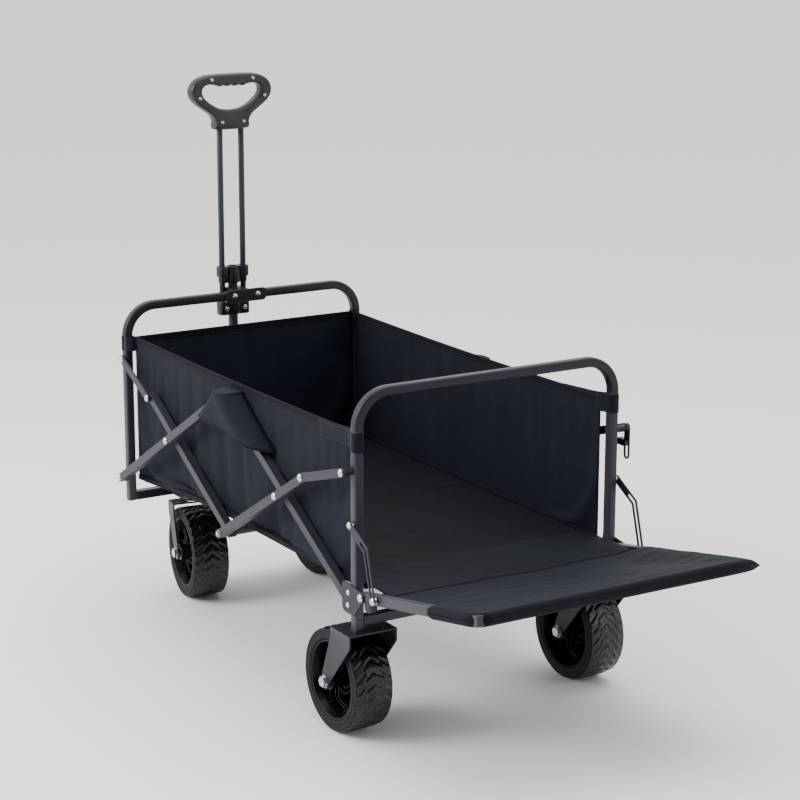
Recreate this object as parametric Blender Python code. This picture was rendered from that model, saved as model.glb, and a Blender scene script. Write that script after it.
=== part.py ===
"""Folding camp wagon with a drop tailgate, swivelling front casters and a telescoping pull handle.

Metres, +Z up, wheels on z = 0. +X points at the tailgate, and -Y is the wagon's left side.
The origin is under the middle of the whole object. Rest is unfolded, tailgate down, handle up.
"""

import math

import bmesh
import bpy
from mathutils import Vector

# ---- driving dimensions -------------------------------------------------------------------
TRACK = 0.500               # between post centres, across the wagon
POST_SPACING = 0.8666       # between front and rear post centres
TUBE = 0.0165               # square tube of the two hoops and crossbars
BEND_RADIUS = 0.065         # outer radius of a hoop's corners
REAR_HOOP_TOP = 0.589
FRONT_HOOP_TOP = 0.577
POST_FOOT = 0.1900          # bottom end of the posts
REAR_BAR_HEIGHT = 0.2062    # centre of the rear crossbar

GAP = 0.0003                # between pieces that touch
WELD = 0.0010               # how far one half of a welded or moulded piece runs into the other
LAYER_GAP = 0.0015          # between layers of bars that swing past each other
BAR = 0.0150                # square tube of the scissor bars
BAR_OVERHANG = 0.011        # bar end past its pivot
PIN_RADIUS = 0.0032
PIN_CLEARANCE = 0.0003
HEAD_RADIUS = 0.0062
HEAD_HEIGHT = 0.0022

LOW_PIVOT_HEIGHT = 0.237    # ends of the long bars, and the mid tube
MID_TOP_HEIGHT = 0.480      # where the long bars meet
REAR_PIVOT_INSET = 0.0243   # rear long bar's pivot ahead of the rear post's centre
UPPER_ARM = 0.116           # crossing pivot to short link pivot
FOLDED_ANGLE = math.radians(78.0)
LINK_THICKNESS = 0.004

FLOOR_TUBE = 0.012
FLOOR_HINGE_INSET = 0.0333  # floor frame hinge to post centre
REAR_RAIL_Y = 0.215
FRONT_RAIL_Y = 0.195
RAIL_END_GAP = 0.010        # floor rail's free end to the mid plane
CLOTH = 0.003
MAT_THICKNESS = 0.008
WALL_TOP = 0.513
WALL_CLEARANCE = 0.0020     # side cloth to the posts' inner faces

WHEEL_RADIUS = 0.0884
TYRE_WIDTH = 0.070
RIM_RADIUS = 0.0670
HUB_RADIUS = 0.0150
AXLE_RADIUS = 0.0050
AXLE_CLEARANCE = 0.0004
FORK_METAL = 0.0030
FORK_SIDE_GAP = 0.0070      # tyre to fork arm
REAR_AXLE_INSET = 0.0583    # rear axle ahead of the rear post's centre
REAR_WHEEL_Y = 0.2335
REAR_FORK_TOP_LENGTH = 0.062
REAR_FORK_OVERHANG = 0.0225  # fork's top past the rear post's centre
CASTER_Y = 0.138
CASTER_INSET = 0.0385       # swivel axis behind the front post's centre
CASTER_TRAIL = 0.030
CASTER_TOP_LENGTH = 0.034
CASTER_BEARING_RADIUS = 0.018
BEARING_HEIGHT = 0.0040
CASTER_PLATE = 0.0030
CASTER_PLATE_WIDTH = 0.048
FORK_TIP_RADIUS = 0.0135
FORK_SHOULDER_REAR = 0.022  # straight part of a fork's rear edge below its top
FORK_SHOULDER_FRONT = 0.016
AXLE_HEAD_RADIUS = 0.0085
AXLE_HEAD = 0.0055
WEB = 0.006                 # the rim's disc
RIM_WALL = 0.004
TREAD_CROWN = 0.0015
SHOULDER_DROP = 0.006       # tyre's shoulder below its tread
CASTER_YAW = {"left": math.radians(-8.5), "right": math.radians(5.0)}

TAILGATE_PIVOT_REACH = 0.0270   # tailgate pivot behind the rear post's centre
TAILGATE_PIVOT_HEIGHT = 0.2532
TAILGATE_LENGTH = 0.340         # pivot to outer face of the end tube
TAILGATE_TILT = math.radians(10.5)
TAILGATE_TUBE_HEIGHT = 0.0170
TAILGATE_CLOTH = 0.006
BRACKET_METAL = 0.0025
BRACKET_CORNER = 0.010
STAY_BOLT = (0.0723, -0.1068)   # tailgate bolt from the stay's pivot, at rest
STAY_BEND = (0.0505, -0.0290)   # middle of the stay's bend
STAY_METAL = 0.0025
STAY_WIDTH = 0.0145
STAY_SLOT = 0.0062
STAY_PIVOT_HEIGHT = 0.368

POLE_STANDOFF = 0.0467      # pole axis ahead of the front post's centre
POLE_RADIUS = 0.0095
POLE_FOOT = 0.196
GUIDE_BOTTOM = 0.586
GUIDE_TOP = 0.6185
BLOCK_WIDTH = 0.066
BLOCK_DEPTH = 0.034
BLOCK_CORNER = 0.006
SLIDER_BOTTOM = 0.523
SLIDER_TOP = 0.549
ROD_SPACING = 0.046
ROD_RADIUS = 0.0058
ROD_TOP = 0.905
GRIP_TOP = 0.996
GRIP_BOTTOM = 0.887
GRIP_WIDTH = 0.176
GRIP_NECK = 0.070
GRIP_DEPTH = 0.028
GRIP_CLEARANCE = 0.0005     # round a rod in its pocket, and the pole in its clip
GRIP_CORNER = 0.022
GRIP_SHOULDER = 0.080       # where the grip has narrowed to its neck, below its top
OPENING_RIM = 0.024         # grip's material at each end of the finger opening
OPENING_CORNER = 0.012
CLIP_WIDTH = 0.034
CLIP_LIP = 0.004            # clip past the middle of the pole
HOOK_METAL = 0.003
HOOK_LENGTH = 0.050
HOOK_SLOT = 0.022
CHEEK_METAL = 0.003         # hinge cheeks at the pole's foot
CHEEK_REACH = 0.012
LINK_OVERHANG = BAR / 2 + 0.001
LINK_BOSS_RADIUS = 0.006

# ---- sizes that follow ---------------------------------------------------------------------
REAR_X = POST_SPACING / 2
FRONT_X = -POST_SPACING / 2
POST_OUT = TRACK / 2 + TUBE / 2
POST_IN = TRACK / 2 - TUBE / 2
INNER_BAR_Y = TRACK / 2                                 # bars that run in the posts' own plane
OUTER_BAR_Y = POST_OUT + LAYER_GAP + BAR / 2            # bars that pass outside the posts
LINK_Y = POST_OUT + LAYER_GAP + LINK_THICKNESS / 2
OUTER_LINK_Y = OUTER_BAR_Y + BAR / 2 + LAYER_GAP + LINK_THICKNESS / 2
REAR_PIVOT_X = REAR_X - REAR_PIVOT_INSET
HALF_SPAN = (REAR_PIVOT_X - FRONT_X) / 2
MID_X = FRONT_X + HALF_SPAN
REST_ANGLE = math.atan2(MID_TOP_HEIGHT - LOW_PIVOT_HEIGHT, HALF_SPAN)
LONG_BAR = HALF_SPAN / math.cos(REST_ANGLE)
INNER_ARM = LONG_BAR / 2 - UPPER_ARM
OUTER_ARM = LONG_BAR / 2 + UPPER_ARM
# height of the front link's post pivot, so that the link fits both the open and the folded frame
SINES = math.sin(FOLDED_ANGLE) + math.sin(REST_ANGLE)
FRONT_LINK_PIVOT = LOW_PIVOT_HEIGHT + UPPER_ARM * LONG_BAR * SINES / OUTER_ARM
REAR_LINK_DROP = (INNER_ARM * REAR_PIVOT_INSET * (math.cos(REST_ANGLE) - math.cos(FOLDED_ANGLE))
                  / (OUTER_ARM * (math.sin(FOLDED_ANGLE) - math.sin(REST_ANGLE))))
REAR_LINK_PIVOT = FRONT_LINK_PIVOT - REAR_LINK_DROP
LINK_JOINT_HEIGHT = LOW_PIVOT_HEIGHT + OUTER_ARM * math.sin(REST_ANGLE)
LINK_JOINT_INSET = INNER_ARM * math.cos(REST_ANGLE)     # from the long bar's low pivot
MID_TUBE_RADIUS = BAR / 2
RAIL_HEIGHT = LOW_PIVOT_HEIGHT + MID_TUBE_RADIUS + FLOOR_TUBE / 2 + 2 * GAP
MAT_BOTTOM = RAIL_HEIGHT + FLOOR_TUBE / 2 + 2 * GAP
WALL_BOTTOM = MAT_BOTTOM + MAT_THICKNESS + CLOTH
WALL_Y = POST_IN - WALL_CLEARANCE - CLOTH / 2
FORK_INNER = TYRE_WIDTH / 2 + FORK_SIDE_GAP             # fork arm's inner face to the wheel's middle
FORK_OUTER = FORK_INNER + FORK_METAL
FORK_TOP = POST_FOOT - GAP
REAR_AXLE_X = REAR_X - REAR_AXLE_INSET
CASTER_X = FRONT_X + CASTER_INSET
CASTER_PLATE_BOTTOM = POST_FOOT - CASTER_PLATE
CASTER_FORK_TOP = CASTER_PLATE_BOTTOM - BEARING_HEIGHT
TAILGATE_X = REAR_X + TAILGATE_PIVOT_REACH
POLE_X = FRONT_X - POLE_STANDOFF
SIDES = {"left": -1, "right": 1}

COLOURS = {
    "powder_coat": ((0.045, 0.047, 0.055), 0.45, 0.6),
    "dark_coat": ((0.012, 0.012, 0.014), 0.45, 0.5),
    "zinc": ((0.62, 0.64, 0.68), 0.28, 1.0),
    "cloth": ((0.012, 0.013, 0.017), 0.85, 0.0),
    "tyre": ((0.020, 0.020, 0.023), 0.55, 0.0),
    "plastic": ((0.012, 0.012, 0.013), 0.38, 0.0),
}


# ---- helpers ---------------------------------------------------------------------------------
def clear_scene():
    for thing in list(bpy.data.objects):
        bpy.data.objects.remove(thing)


def material_for(name, finish):
    """A material of this object's own, in one of the finishes above."""
    colour, roughness, metallic = COLOURS[finish]
    material = bpy.data.materials.new(name)
    material.use_nodes = True
    shader = material.node_tree.nodes["Principled BSDF"]
    shader.inputs["Base Color"].default_value = (*colour, 1.0)
    shader.inputs["Roughness"].default_value = roughness
    shader.inputs["Metallic"].default_value = metallic
    return material


def add_object(name, bm, finish, place=(0, 0, 0), turn=(0, 0, 0), parent=None, smooth=False):
    bmesh.ops.recalc_face_normals(bm, faces=bm.faces)
    mesh = bpy.data.meshes.new(name)
    bm.to_mesh(mesh)
    bm.free()
    if smooth:
        mesh.shade_smooth()
        mesh.set_sharp_from_angle(angle=math.radians(35))
    mesh.materials.append(material_for(name, finish))
    made = bpy.data.objects.new(name, mesh)
    bpy.context.collection.objects.link(made)
    made.location = place
    made.rotation_euler = turn
    made.parent = parent
    return made


def combine(target, tool, operation):
    """Joins or cuts one object with a helper that stays out of the render."""
    step = target.modifiers.new(tool.name, "BOOLEAN")
    step.operation = operation
    step.solver = "EXACT"
    step.object = tool
    tool.hide_render = True
    tool.display_type = "WIRE"


def box(low, high):
    """A box between two corners, as a bmesh."""
    bm = bmesh.new()
    bmesh.ops.create_cube(bm, size=1.0)
    low, high = Vector(low), Vector(high)
    for vert in bm.verts:
        vert.co = Vector((low[i] + (vert.co[i] + 0.5) * (high[i] - low[i])) for i in range(3))
    return bm


def circle(centre, radius, count=10):
    return [(centre[0] + radius * math.cos(2 * math.pi * i / count),
             centre[1] + radius * math.sin(2 * math.pi * i / count)) for i in range(count)]


def arc(centre, radius, start, end, count=6):
    """Points on an arc, angles in degrees."""
    angles = [math.radians(start + (end - start) * i / count) for i in range(count + 1)]
    return [(centre[0] + radius * math.cos(a), centre[1] + radius * math.sin(a)) for a in angles]


def sheet_metal(outline, holes, thickness, axis="Y"):
    """A flat outline with holes, extruded both ways from its plane along one axis."""
    bm = bmesh.new()

    def place(u, v):
        return {"Y": (u, -thickness / 2, v), "X": (-thickness / 2, u, v), "Z": (u, v, -thickness / 2)}[axis]

    edges = []
    for loop in [outline, *holes]:
        verts = [bm.verts.new(place(u, v)) for u, v in loop]
        edges += [bm.edges.new((verts[i], verts[(i + 1) % len(verts)])) for i in range(len(verts))]
    bmesh.ops.triangle_fill(bm, use_beauty=True, edges=edges)
    raised = bmesh.ops.extrude_face_region(bm, geom=list(bm.faces))["geom"]
    shift = {"Y": (0, thickness, 0), "X": (thickness, 0, 0), "Z": (0, 0, thickness)}[axis]
    bmesh.ops.translate(bm, vec=shift, verts=[g for g in raised if isinstance(g, bmesh.types.BMVert)])
    return bm


def turned(profile, axis="Y", sides=16, ring=False):
    """A turned piece from (radius, place along the axis) points. A ring's profile closes on itself."""
    bm = bmesh.new()

    def at(radius, along, angle):
        a, b = radius * math.cos(angle), radius * math.sin(angle)
        return {"Y": (a, along, b), "Z": (a, b, along), "X": (along, a, b)}[axis]

    loops = []
    for radius, along in profile:
        count = sides if radius > 0 else 1
        loops.append([bm.verts.new(at(radius, along, 2 * math.pi * i / sides)) for i in range(count)])
    pairs = list(zip(loops, loops[1:])) + ([(loops[-1], loops[0])] if ring else [])
    for one, two in pairs:
        for i in range(sides):
            j = (i + 1) % sides
            if len(one) == 1:
                bm.faces.new((one[0], two[i], two[j]))
            elif len(two) == 1:
                bm.faces.new((one[i], two[0], one[j]))
            else:
                bm.faces.new((one[i], two[i], two[j], one[j]))
    return bm


def bar_outline(start, end, height, low_overhang, high_overhang):
    """A straight bar with rounded ends, along local X."""
    half = height / 2
    return (arc((end + high_overhang - half, 0), half, -90, 90, 4)
            + arc((start - low_overhang + half, 0), half, 90, 270, 4))


def slope(run, rise):
    """Rotation about +Y that lays local +X along this run and rise."""
    return -math.atan2(rise, run)


def rivet(length):
    """A pin along Y from 0 to length, with a domed head past its far end."""
    return [(0, 0), (PIN_RADIUS, 0), (PIN_RADIUS, length), (HEAD_RADIUS, length),
            (HEAD_RADIUS, length + HEAD_HEIGHT / 3), (HEAD_RADIUS * 0.7, length + HEAD_HEIGHT),
            (0, length + HEAD_HEIGHT)]


PIN_HOLE = PIN_RADIUS + PIN_CLEARANCE


# ---- frames ----------------------------------------------------------------------------------
def hoop(name, x, top):
    """An inverted U of square tube, standing across the wagon."""
    bend_in = BEND_RADIUS - TUBE
    middle_y, middle_z = POST_OUT - BEND_RADIUS, top - BEND_RADIUS
    outer = arc((middle_y, middle_z), BEND_RADIUS, 0, 90) + arc((-middle_y, middle_z), BEND_RADIUS, 90, 180)
    inner = arc((-middle_y, middle_z), bend_in, 180, 90) + arc((middle_y, middle_z), bend_in, 90, 0)
    outline = ([(POST_OUT, POST_FOOT), *outer, (-POST_OUT, POST_FOOT)]
               + [(-POST_IN, POST_FOOT), *inner, (POST_IN, POST_FOOT)])
    add_object(name, sheet_metal(outline, [], TUBE, "X"), "powder_coat", (x, 0, 0))


def crossbars():
    reach = POST_IN - GAP
    half = TUBE / 2
    cheek_in = POLE_RADIUS + CHEEK_METAL
    add_object("rear_crossbar", box((-half, -reach, -half), (half, reach, half)), "dark_coat",
               (REAR_X, 0, REAR_BAR_HEIGHT))
    front = add_object("front_crossbar", box((-half, -reach, -half), (half, reach, half)), "dark_coat",
                       (FRONT_X, 0, POST_FOOT + half))
    for side, sign in SIDES.items():
        reach_x = CASTER_INSET + CASTER_BEARING_RADIUS
        plate = add_object(f"caster_plate_{side}",
                           box((-half, sign * CASTER_Y - CASTER_PLATE_WIDTH / 2, -half - CASTER_PLATE),
                               (reach_x, sign * CASTER_Y + CASTER_PLATE_WIDTH / 2, -half + WELD)),
                           "dark_coat",
                           (FRONT_X, 0, POST_FOOT + half))
        combine(front, plate, "UNION")
        # one cheek of the hinge at the pole's foot
        cheek_low, cheek_high = sorted((sign * cheek_in, sign * (cheek_in + CHEEK_METAL)))
        cheek = add_object(f"pole_foot_cheek_{side}",
                           box((POLE_X - FRONT_X - CHEEK_REACH, cheek_low, -half + WELD),
                               (-half + WELD, cheek_high, half + CHEEK_REACH)), "dark_coat",
                           (FRONT_X, 0, POST_FOOT + half))
        combine(front, cheek, "UNION")


# ---- side scissor linkage --------------------------------------------------------------------
def scissor(side, sign):
    """Four bars, two short links and their pins, on one side of the wagon."""
    crossing = LONG_BAR / 2
    long_holes = [circle((x, 0), PIN_HOLE) for x in (0, crossing, LONG_BAR)]
    long_outline = bar_outline(0, LONG_BAR, BAR, BAR_OVERHANG, BAR_OVERHANG)
    short_holes = [circle((x, 0), PIN_HOLE) for x in (-UPPER_ARM, 0, crossing)]
    short_outline = bar_outline(-UPPER_ARM, crossing, BAR, BAR_OVERHANG, BAR_OVERHANG)
    outer_y, inner_y = sign * OUTER_BAR_Y, sign * INNER_BAR_Y
    half_run, half_rise = HALF_SPAN / 2, (MID_TOP_HEIGHT - LOW_PIVOT_HEIGHT) / 2
    crossing_height = LOW_PIVOT_HEIGHT + half_rise
    front_crossing = (FRONT_X + half_run, crossing_height)
    rear_crossing = (REAR_PIVOT_X - half_run, crossing_height)
    rise = math.sin(REST_ANGLE)
    run = math.cos(REST_ANGLE)

    add_object(f"long_bar_front_{side}", sheet_metal(long_outline, long_holes, BAR), "powder_coat",
               (MID_X, outer_y, MID_TOP_HEIGHT), (0, slope(-run, -rise), 0))
    add_object(f"long_bar_rear_{side}", sheet_metal(long_outline, long_holes, BAR), "powder_coat",
               (REAR_PIVOT_X, inner_y, LOW_PIVOT_HEIGHT), (0, slope(-run, rise), 0))
    add_object(f"short_bar_front_{side}", sheet_metal(short_outline, short_holes, BAR), "powder_coat",
               (front_crossing[0], inner_y, front_crossing[1]), (0, slope(run, -rise), 0))
    add_object(f"short_bar_rear_{side}", sheet_metal(short_outline, short_holes, BAR), "powder_coat",
               (rear_crossing[0], outer_y, rear_crossing[1]), (0, slope(-run, -rise), 0))

    # pins: from the inner bar's inner face out through the outer bar
    inner_face = INNER_BAR_Y - BAR / 2
    outer_face = OUTER_BAR_Y + BAR / 2 + GAP
    for where, (x, z) in {"crossing_pin_front": front_crossing, "crossing_pin_rear": rear_crossing,
                          "mid_top_pin": (MID_X, MID_TOP_HEIGHT)}.items():
        profile = [(r, sign * a) for r, a in rivet(outer_face - inner_face)]
        add_object(f"{where}_{side}", turned(profile, sides=10), "zinc",
                   (x, sign * inner_face, z), smooth=True)

    # short links from the posts to the short bars' upper ends
    joint_front = (FRONT_X + LINK_JOINT_INSET, LINK_JOINT_HEIGHT)
    joint_rear = (REAR_PIVOT_X - LINK_JOINT_INSET, LINK_JOINT_HEIGHT)
    for where, x, height, joint, y in (("front", FRONT_X, FRONT_LINK_PIVOT, joint_front, LINK_Y),
                                       ("rear", REAR_X, REAR_LINK_PIVOT, joint_rear, OUTER_LINK_Y)):
        run_x, run_z = joint[0] - x, joint[1] - height
        length = math.hypot(run_x, run_z)
        outline = bar_outline(0, length, BAR, LINK_OVERHANG, LINK_OVERHANG)
        link = add_object(f"short_link_{where}_{side}", sheet_metal(outline, [], LINK_THICKNESS),
                          "powder_coat", (x, sign * y, height), (0, slope(run_x, run_z), 0))
        if where == "rear":
            # spacer boss that carries the outer link back to the post's face
            boss_end = POST_OUT + GAP - y
            boss = add_object(f"link_boss_{side}", turned([(0, sign * boss_end),
                                                           (LINK_BOSS_RADIUS, sign * boss_end),
                                                           (LINK_BOSS_RADIUS, 0), (0, 0)], sides=10),
                              "powder_coat", link.location, link.rotation_euler)
            combine(link, boss, "UNION")


def mid_tube():
    """Cross tube under the floor, stepped down to a stud through both sides' lower bar ends."""
    shoulder = INNER_BAR_Y - BAR / 2 - GAP
    end = OUTER_BAR_Y + BAR / 2 + GAP
    half = [(PIN_RADIUS, shoulder), (PIN_RADIUS, end), (HEAD_RADIUS, end),
            (HEAD_RADIUS, end + HEAD_HEIGHT), (0, end + HEAD_HEIGHT)]
    profile = ([(0, -half[-1][1])] + [(r, -a) for r, a in reversed(half[:-1])]
               + [(MID_TUBE_RADIUS, -shoulder), (MID_TUBE_RADIUS, shoulder)] + half)
    add_object("mid_tube", turned(profile, sides=14), "dark_coat",
               (MID_X, 0, LOW_PIVOT_HEIGHT), smooth=True)


# ---- floor -----------------------------------------------------------------------------------
def floor_frame(name, x, rail_y, direction):
    """A hinged U: one cross tube at the hinge and two rails that reach the mid plane."""
    half = FLOOR_TUBE / 2
    length = abs(MID_X - x) - RAIL_END_GAP
    outline = [(-half, -rail_y - half), (length, -rail_y - half), (length, -rail_y + half),
               (half, -rail_y + half), (half, rail_y - half), (length, rail_y - half),
               (length, rail_y + half), (-half, rail_y + half)]
    points = [(u * direction, v) for u, v in outline]
    add_object(name, sheet_metal(points, [], FLOOR_TUBE, "Z"), "dark_coat", (x, 0, RAIL_HEIGHT))


def floor_and_walls():
    floor_frame("floor_frame_rear", REAR_X - FLOOR_HINGE_INSET, REAR_RAIL_Y, -1)
    floor_frame("floor_frame_front", FRONT_X + FLOOR_HINGE_INSET, FRONT_RAIL_Y, 1)
    inside = POST_IN - WALL_CLEARANCE
    mat_front = FRONT_X + TUBE / 2 + WALL_CLEARANCE + CLOTH + GAP
    mat_rear = REAR_X + TUBE / 2
    mat_top = MAT_BOTTOM + MAT_THICKNESS
    add_object("floor_mat", box((mat_front, -inside, MAT_BOTTOM), (mat_rear, inside, mat_top)), "cloth")
    wall_front = FRONT_X - TUBE / 2
    for side, sign in SIDES.items():
        low, high = WALL_Y - CLOTH / 2, WALL_Y + CLOTH / 2
        add_object(f"side_panel_{side}",
                   box((wall_front, min(sign * low, sign * high), WALL_BOTTOM),
                       (mat_rear, max(sign * low, sign * high), WALL_TOP)), "cloth")
    front_face = FRONT_X + TUBE / 2 + WALL_CLEARANCE
    reach = WALL_Y - CLOTH / 2 - GAP
    add_object("front_panel", box((front_face, -reach, WALL_BOTTOM), (front_face + CLOTH, reach, WALL_TOP)),
               "cloth")


# ---- wheels ----------------------------------------------------------------------------------
def wheel(prefix, side, place, yaw=0.0):
    """Tyre, rim and axle bolt, on one axis."""
    half = TYRE_WIDTH / 2
    shoulder = WHEEL_RADIUS - SHOULDER_DROP
    inset = 0.002                           # the bead and the rim's lip, in from the tyre's side
    tyre = [(RIM_RADIUS + GAP, -half + inset), (shoulder, -half), (WHEEL_RADIUS - TREAD_CROWN, -half * 0.78),
            (WHEEL_RADIUS, -half * 0.45), (WHEEL_RADIUS, half * 0.45),
            (WHEEL_RADIUS - TREAD_CROWN, half * 0.78), (shoulder, half), (RIM_RADIUS + GAP, half - inset)]
    turn = (0, 0, yaw)
    add_object(f"{prefix}_tyre_{side}", turned(tyre, sides=32, ring=True), "tyre", place, turn, smooth=True)
    bore = AXLE_RADIUS + AXLE_CLEARANCE
    web = WEB / 2
    lip = half - inset - TREAD_CROWN
    hub = (half + FORK_INNER) / 2
    barrel = RIM_RADIUS - RIM_WALL
    rim = [(RIM_RADIUS, -lip), (RIM_RADIUS, lip), (barrel, lip), (barrel - inset, web), (HUB_RADIUS, web),
           (HUB_RADIUS, hub), (bore, hub), (bore, -hub), (HUB_RADIUS, -hub), (HUB_RADIUS, -web),
           (barrel - inset, -web), (barrel, -lip)]
    add_object(f"{prefix}_rim_{side}", turned(rim, sides=32, ring=True), "plastic", place, turn, smooth=True)
    end = FORK_OUTER + GAP
    tip = end + AXLE_HEAD
    axle = [(0, -tip), (AXLE_HEAD_RADIUS, -tip), (AXLE_HEAD_RADIUS, -end), (AXLE_RADIUS, -end),
            (AXLE_RADIUS, end), (AXLE_HEAD_RADIUS, end), (AXLE_HEAD_RADIUS, tip), (0, tip)]
    add_object(f"{prefix}_axle_{side}", turned(axle, sides=12), "zinc", place, turn, smooth=True)


def fork(name, place, yaw, top, top_low, top_high, finish):
    """A bent fork: its side outline, holed for the axle, over an inverted U across the wheel."""
    rise = top - place[2]                   # the fork's top above its axle
    outline = ([(top_low, rise), (top_low, rise - FORK_SHOULDER_FRONT)]
               + arc((0, 0), FORK_TIP_RADIUS, 180, 360, 6)
               + [(top_high, rise - FORK_SHOULDER_REAR), (top_high, rise)])
    hole = circle((0, 0), AXLE_RADIUS + AXLE_CLEARANCE, 12)
    bracket = add_object(name, sheet_metal(outline, [hole], 2 * FORK_OUTER), finish, place, (0, 0, yaw))
    clear = WHEEL_RADIUS + TUBE             # past the fork's own outline every way
    inside = add_object(f"{name}_inside", box((-clear, -FORK_INNER, -clear),
                                              (clear, FORK_INNER, rise - FORK_METAL)),
                        finish, place, (0, 0, yaw))
    combine(bracket, inside, "DIFFERENCE")


def running_gear():
    for side, sign in SIDES.items():
        place = (REAR_AXLE_X, sign * REAR_WHEEL_Y, WHEEL_RADIUS)
        wheel("rear", side, place)
        high = REAR_AXLE_INSET + REAR_FORK_OVERHANG
        fork(f"rear_fork_{side}", place, 0.0, FORK_TOP, high - REAR_FORK_TOP_LENGTH, high, "powder_coat")
        yaw = CASTER_YAW[side]
        pivot = Vector((CASTER_X, sign * CASTER_Y, 0))
        trail = Vector((math.cos(yaw), math.sin(yaw), 0)) * CASTER_TRAIL
        place = (pivot.x + trail.x, pivot.y + trail.y, WHEEL_RADIUS)
        wheel("front", side, place, yaw)
        low = -CASTER_TRAIL - CASTER_TOP_LENGTH / 2
        high = -CASTER_TRAIL + CASTER_TOP_LENGTH / 2
        fork(f"caster_fork_{side}", place, yaw, CASTER_FORK_TOP, low, high, "powder_coat")
        bearing = add_object(f"caster_bearing_{side}",
                             turned([(0, CASTER_FORK_TOP - WELD),
                                     (CASTER_BEARING_RADIUS, CASTER_FORK_TOP - WELD),
                                     (CASTER_BEARING_RADIUS, CASTER_PLATE_BOTTOM - GAP),
                                     (0, CASTER_PLATE_BOTTOM - GAP)], "Z", 20), "powder_coat", pivot)
        combine(bpy.data.objects[f"caster_fork_{side}"], bearing, "UNION")


# ---- tailgate --------------------------------------------------------------------------------
def tailgate():
    pivot = (TAILGATE_X, 0, TAILGATE_PIVOT_HEIGHT)
    turn = (0, -TAILGATE_TILT, 0)
    outer, inner = TRACK / 2 + BAR / 2, TRACK / 2 - BAR / 2
    end = TAILGATE_LENGTH
    ears = TAILGATE_TUBE_HEIGHT / 2
    outline = [(-ears, -outer), (end, -outer), (end, outer), (-ears, outer), (-ears, inner),
               (end - BAR, inner), (end - BAR, -inner), (-ears, -inner)]
    add_object("tailgate_frame", sheet_metal(outline, [], TAILGATE_TUBE_HEIGHT, "Z"), "powder_coat",
               pivot, turn)
    side = inner - WELD
    half = TAILGATE_CLOTH / 2
    add_object("tailgate_panel", box((BAR_OVERHANG, -side, -half), (end - BAR - WELD, side, half)), "cloth",
               pivot, turn)
    for name, sign in SIDES.items():
        plate_y = sign * (POST_OUT + GAP + BRACKET_METAL / 2)
        corner = BRACKET_CORNER
        nose = TAILGATE_TUBE_HEIGHT / 2 + WELD
        front, low = REAR_PIVOT_X - corner / 2 - WELD, LOW_PIVOT_HEIGHT - corner - nose - GAP
        high = TAILGATE_PIVOT_HEIGHT + corner + nose - 3 * WELD
        outline = (arc((TAILGATE_X, TAILGATE_PIVOT_HEIGHT), nose, -70, 70)
                   + arc((front + corner, high - corner), corner, 90, 180, 3)
                   + arc((front + corner, low + corner), corner, 180, 270, 3)
                   + [(REAR_X + TUBE / 2, low)])
        add_object(f"tailgate_bracket_{name}", sheet_metal(outline, [], BRACKET_METAL), "powder_coat",
                   (0, plate_y, 0))
        stay(name, sign)


def stay(side, sign):
    """A bent flat stay with a long slot, from the post down to the tailgate arm."""
    bolt, bend = STAY_BOLT, STAY_BEND
    half = STAY_WIDTH / 2

    def offset(p, q, by):
        run, rise = q[0] - p[0], q[1] - p[1]
        length = math.hypot(run, rise)
        return (-rise / length * by, run / length * by)

    def corner(by):
        """Where the two legs' edge lines, moved sideways by this much, meet."""
        a, b = offset((0, 0), bend, by), offset(bend, bolt, by)
        share = math.atan2(a[1] + b[1], a[0] + b[0])
        half_turn = (math.atan2(b[1], b[0]) - math.atan2(a[1], a[0])) / 2
        reach = abs(by) / math.cos(half_turn)
        return (bend[0] + math.cos(share) * reach, bend[1] + math.sin(share) * reach)

    first = math.degrees(math.atan2(*reversed(offset((0, 0), bend, half))))
    last = math.degrees(math.atan2(*reversed(offset(bend, bolt, half))))
    outline = (arc((0, 0), half, first + 180, first, 5) + [corner(half)]
               + arc(bolt, half, last, last - 180, 5) + [corner(-half)])
    slot_half = STAY_SLOT / 2
    start = tuple(0.72 * c for c in bend)
    slot = (arc(start, slot_half, first + 180, first, 4) + [corner(slot_half)]
            + arc(bolt, slot_half, last, last - 180, 4) + [corner(-slot_half)])
    y = sign * (POST_OUT + GAP + BRACKET_METAL + LAYER_GAP + STAY_METAL / 2)
    add_object(f"tailgate_stay_{side}", sheet_metal(outline, [slot], STAY_METAL), "powder_coat",
               (REAR_X, y, STAY_PIVOT_HEIGHT))


def fold_lock():
    """A slotted hook on the right rear post, hung from the short link's pivot, with a finger knob."""
    y = OUTER_LINK_Y + LINK_THICKNESS / 2 + LAYER_GAP + HOOK_METAL / 2
    length, half = HOOK_LENGTH, STAY_WIDTH / 2
    outline = bar_outline(0, length, STAY_WIDTH, half, half)
    slot = (arc((length, 0), half / 2, -90, 90, 4) + arc((length - HOOK_SLOT, 0), half / 2, 90, 270, 4))
    hook = add_object("fold_lock_hook", sheet_metal(outline, [slot], HOOK_METAL), "dark_coat",
                      (REAR_X, y, REAR_LINK_PIVOT), (0, slope(0, -1), 0))
    knob_height, knob_reach, knob_width = 0.012, 0.020, 0.009
    knob = add_object("fold_lock_knob", box((length / 2 - WELD, -HOOK_METAL / 2, -half + WELD - knob_reach),
                                            (length / 2 + knob_height - WELD, knob_width, -half + WELD)),
                      "dark_coat", (REAR_X, y, REAR_LINK_PIVOT), (0, slope(0, -1), 0))
    combine(hook, knob, "UNION")


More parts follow.
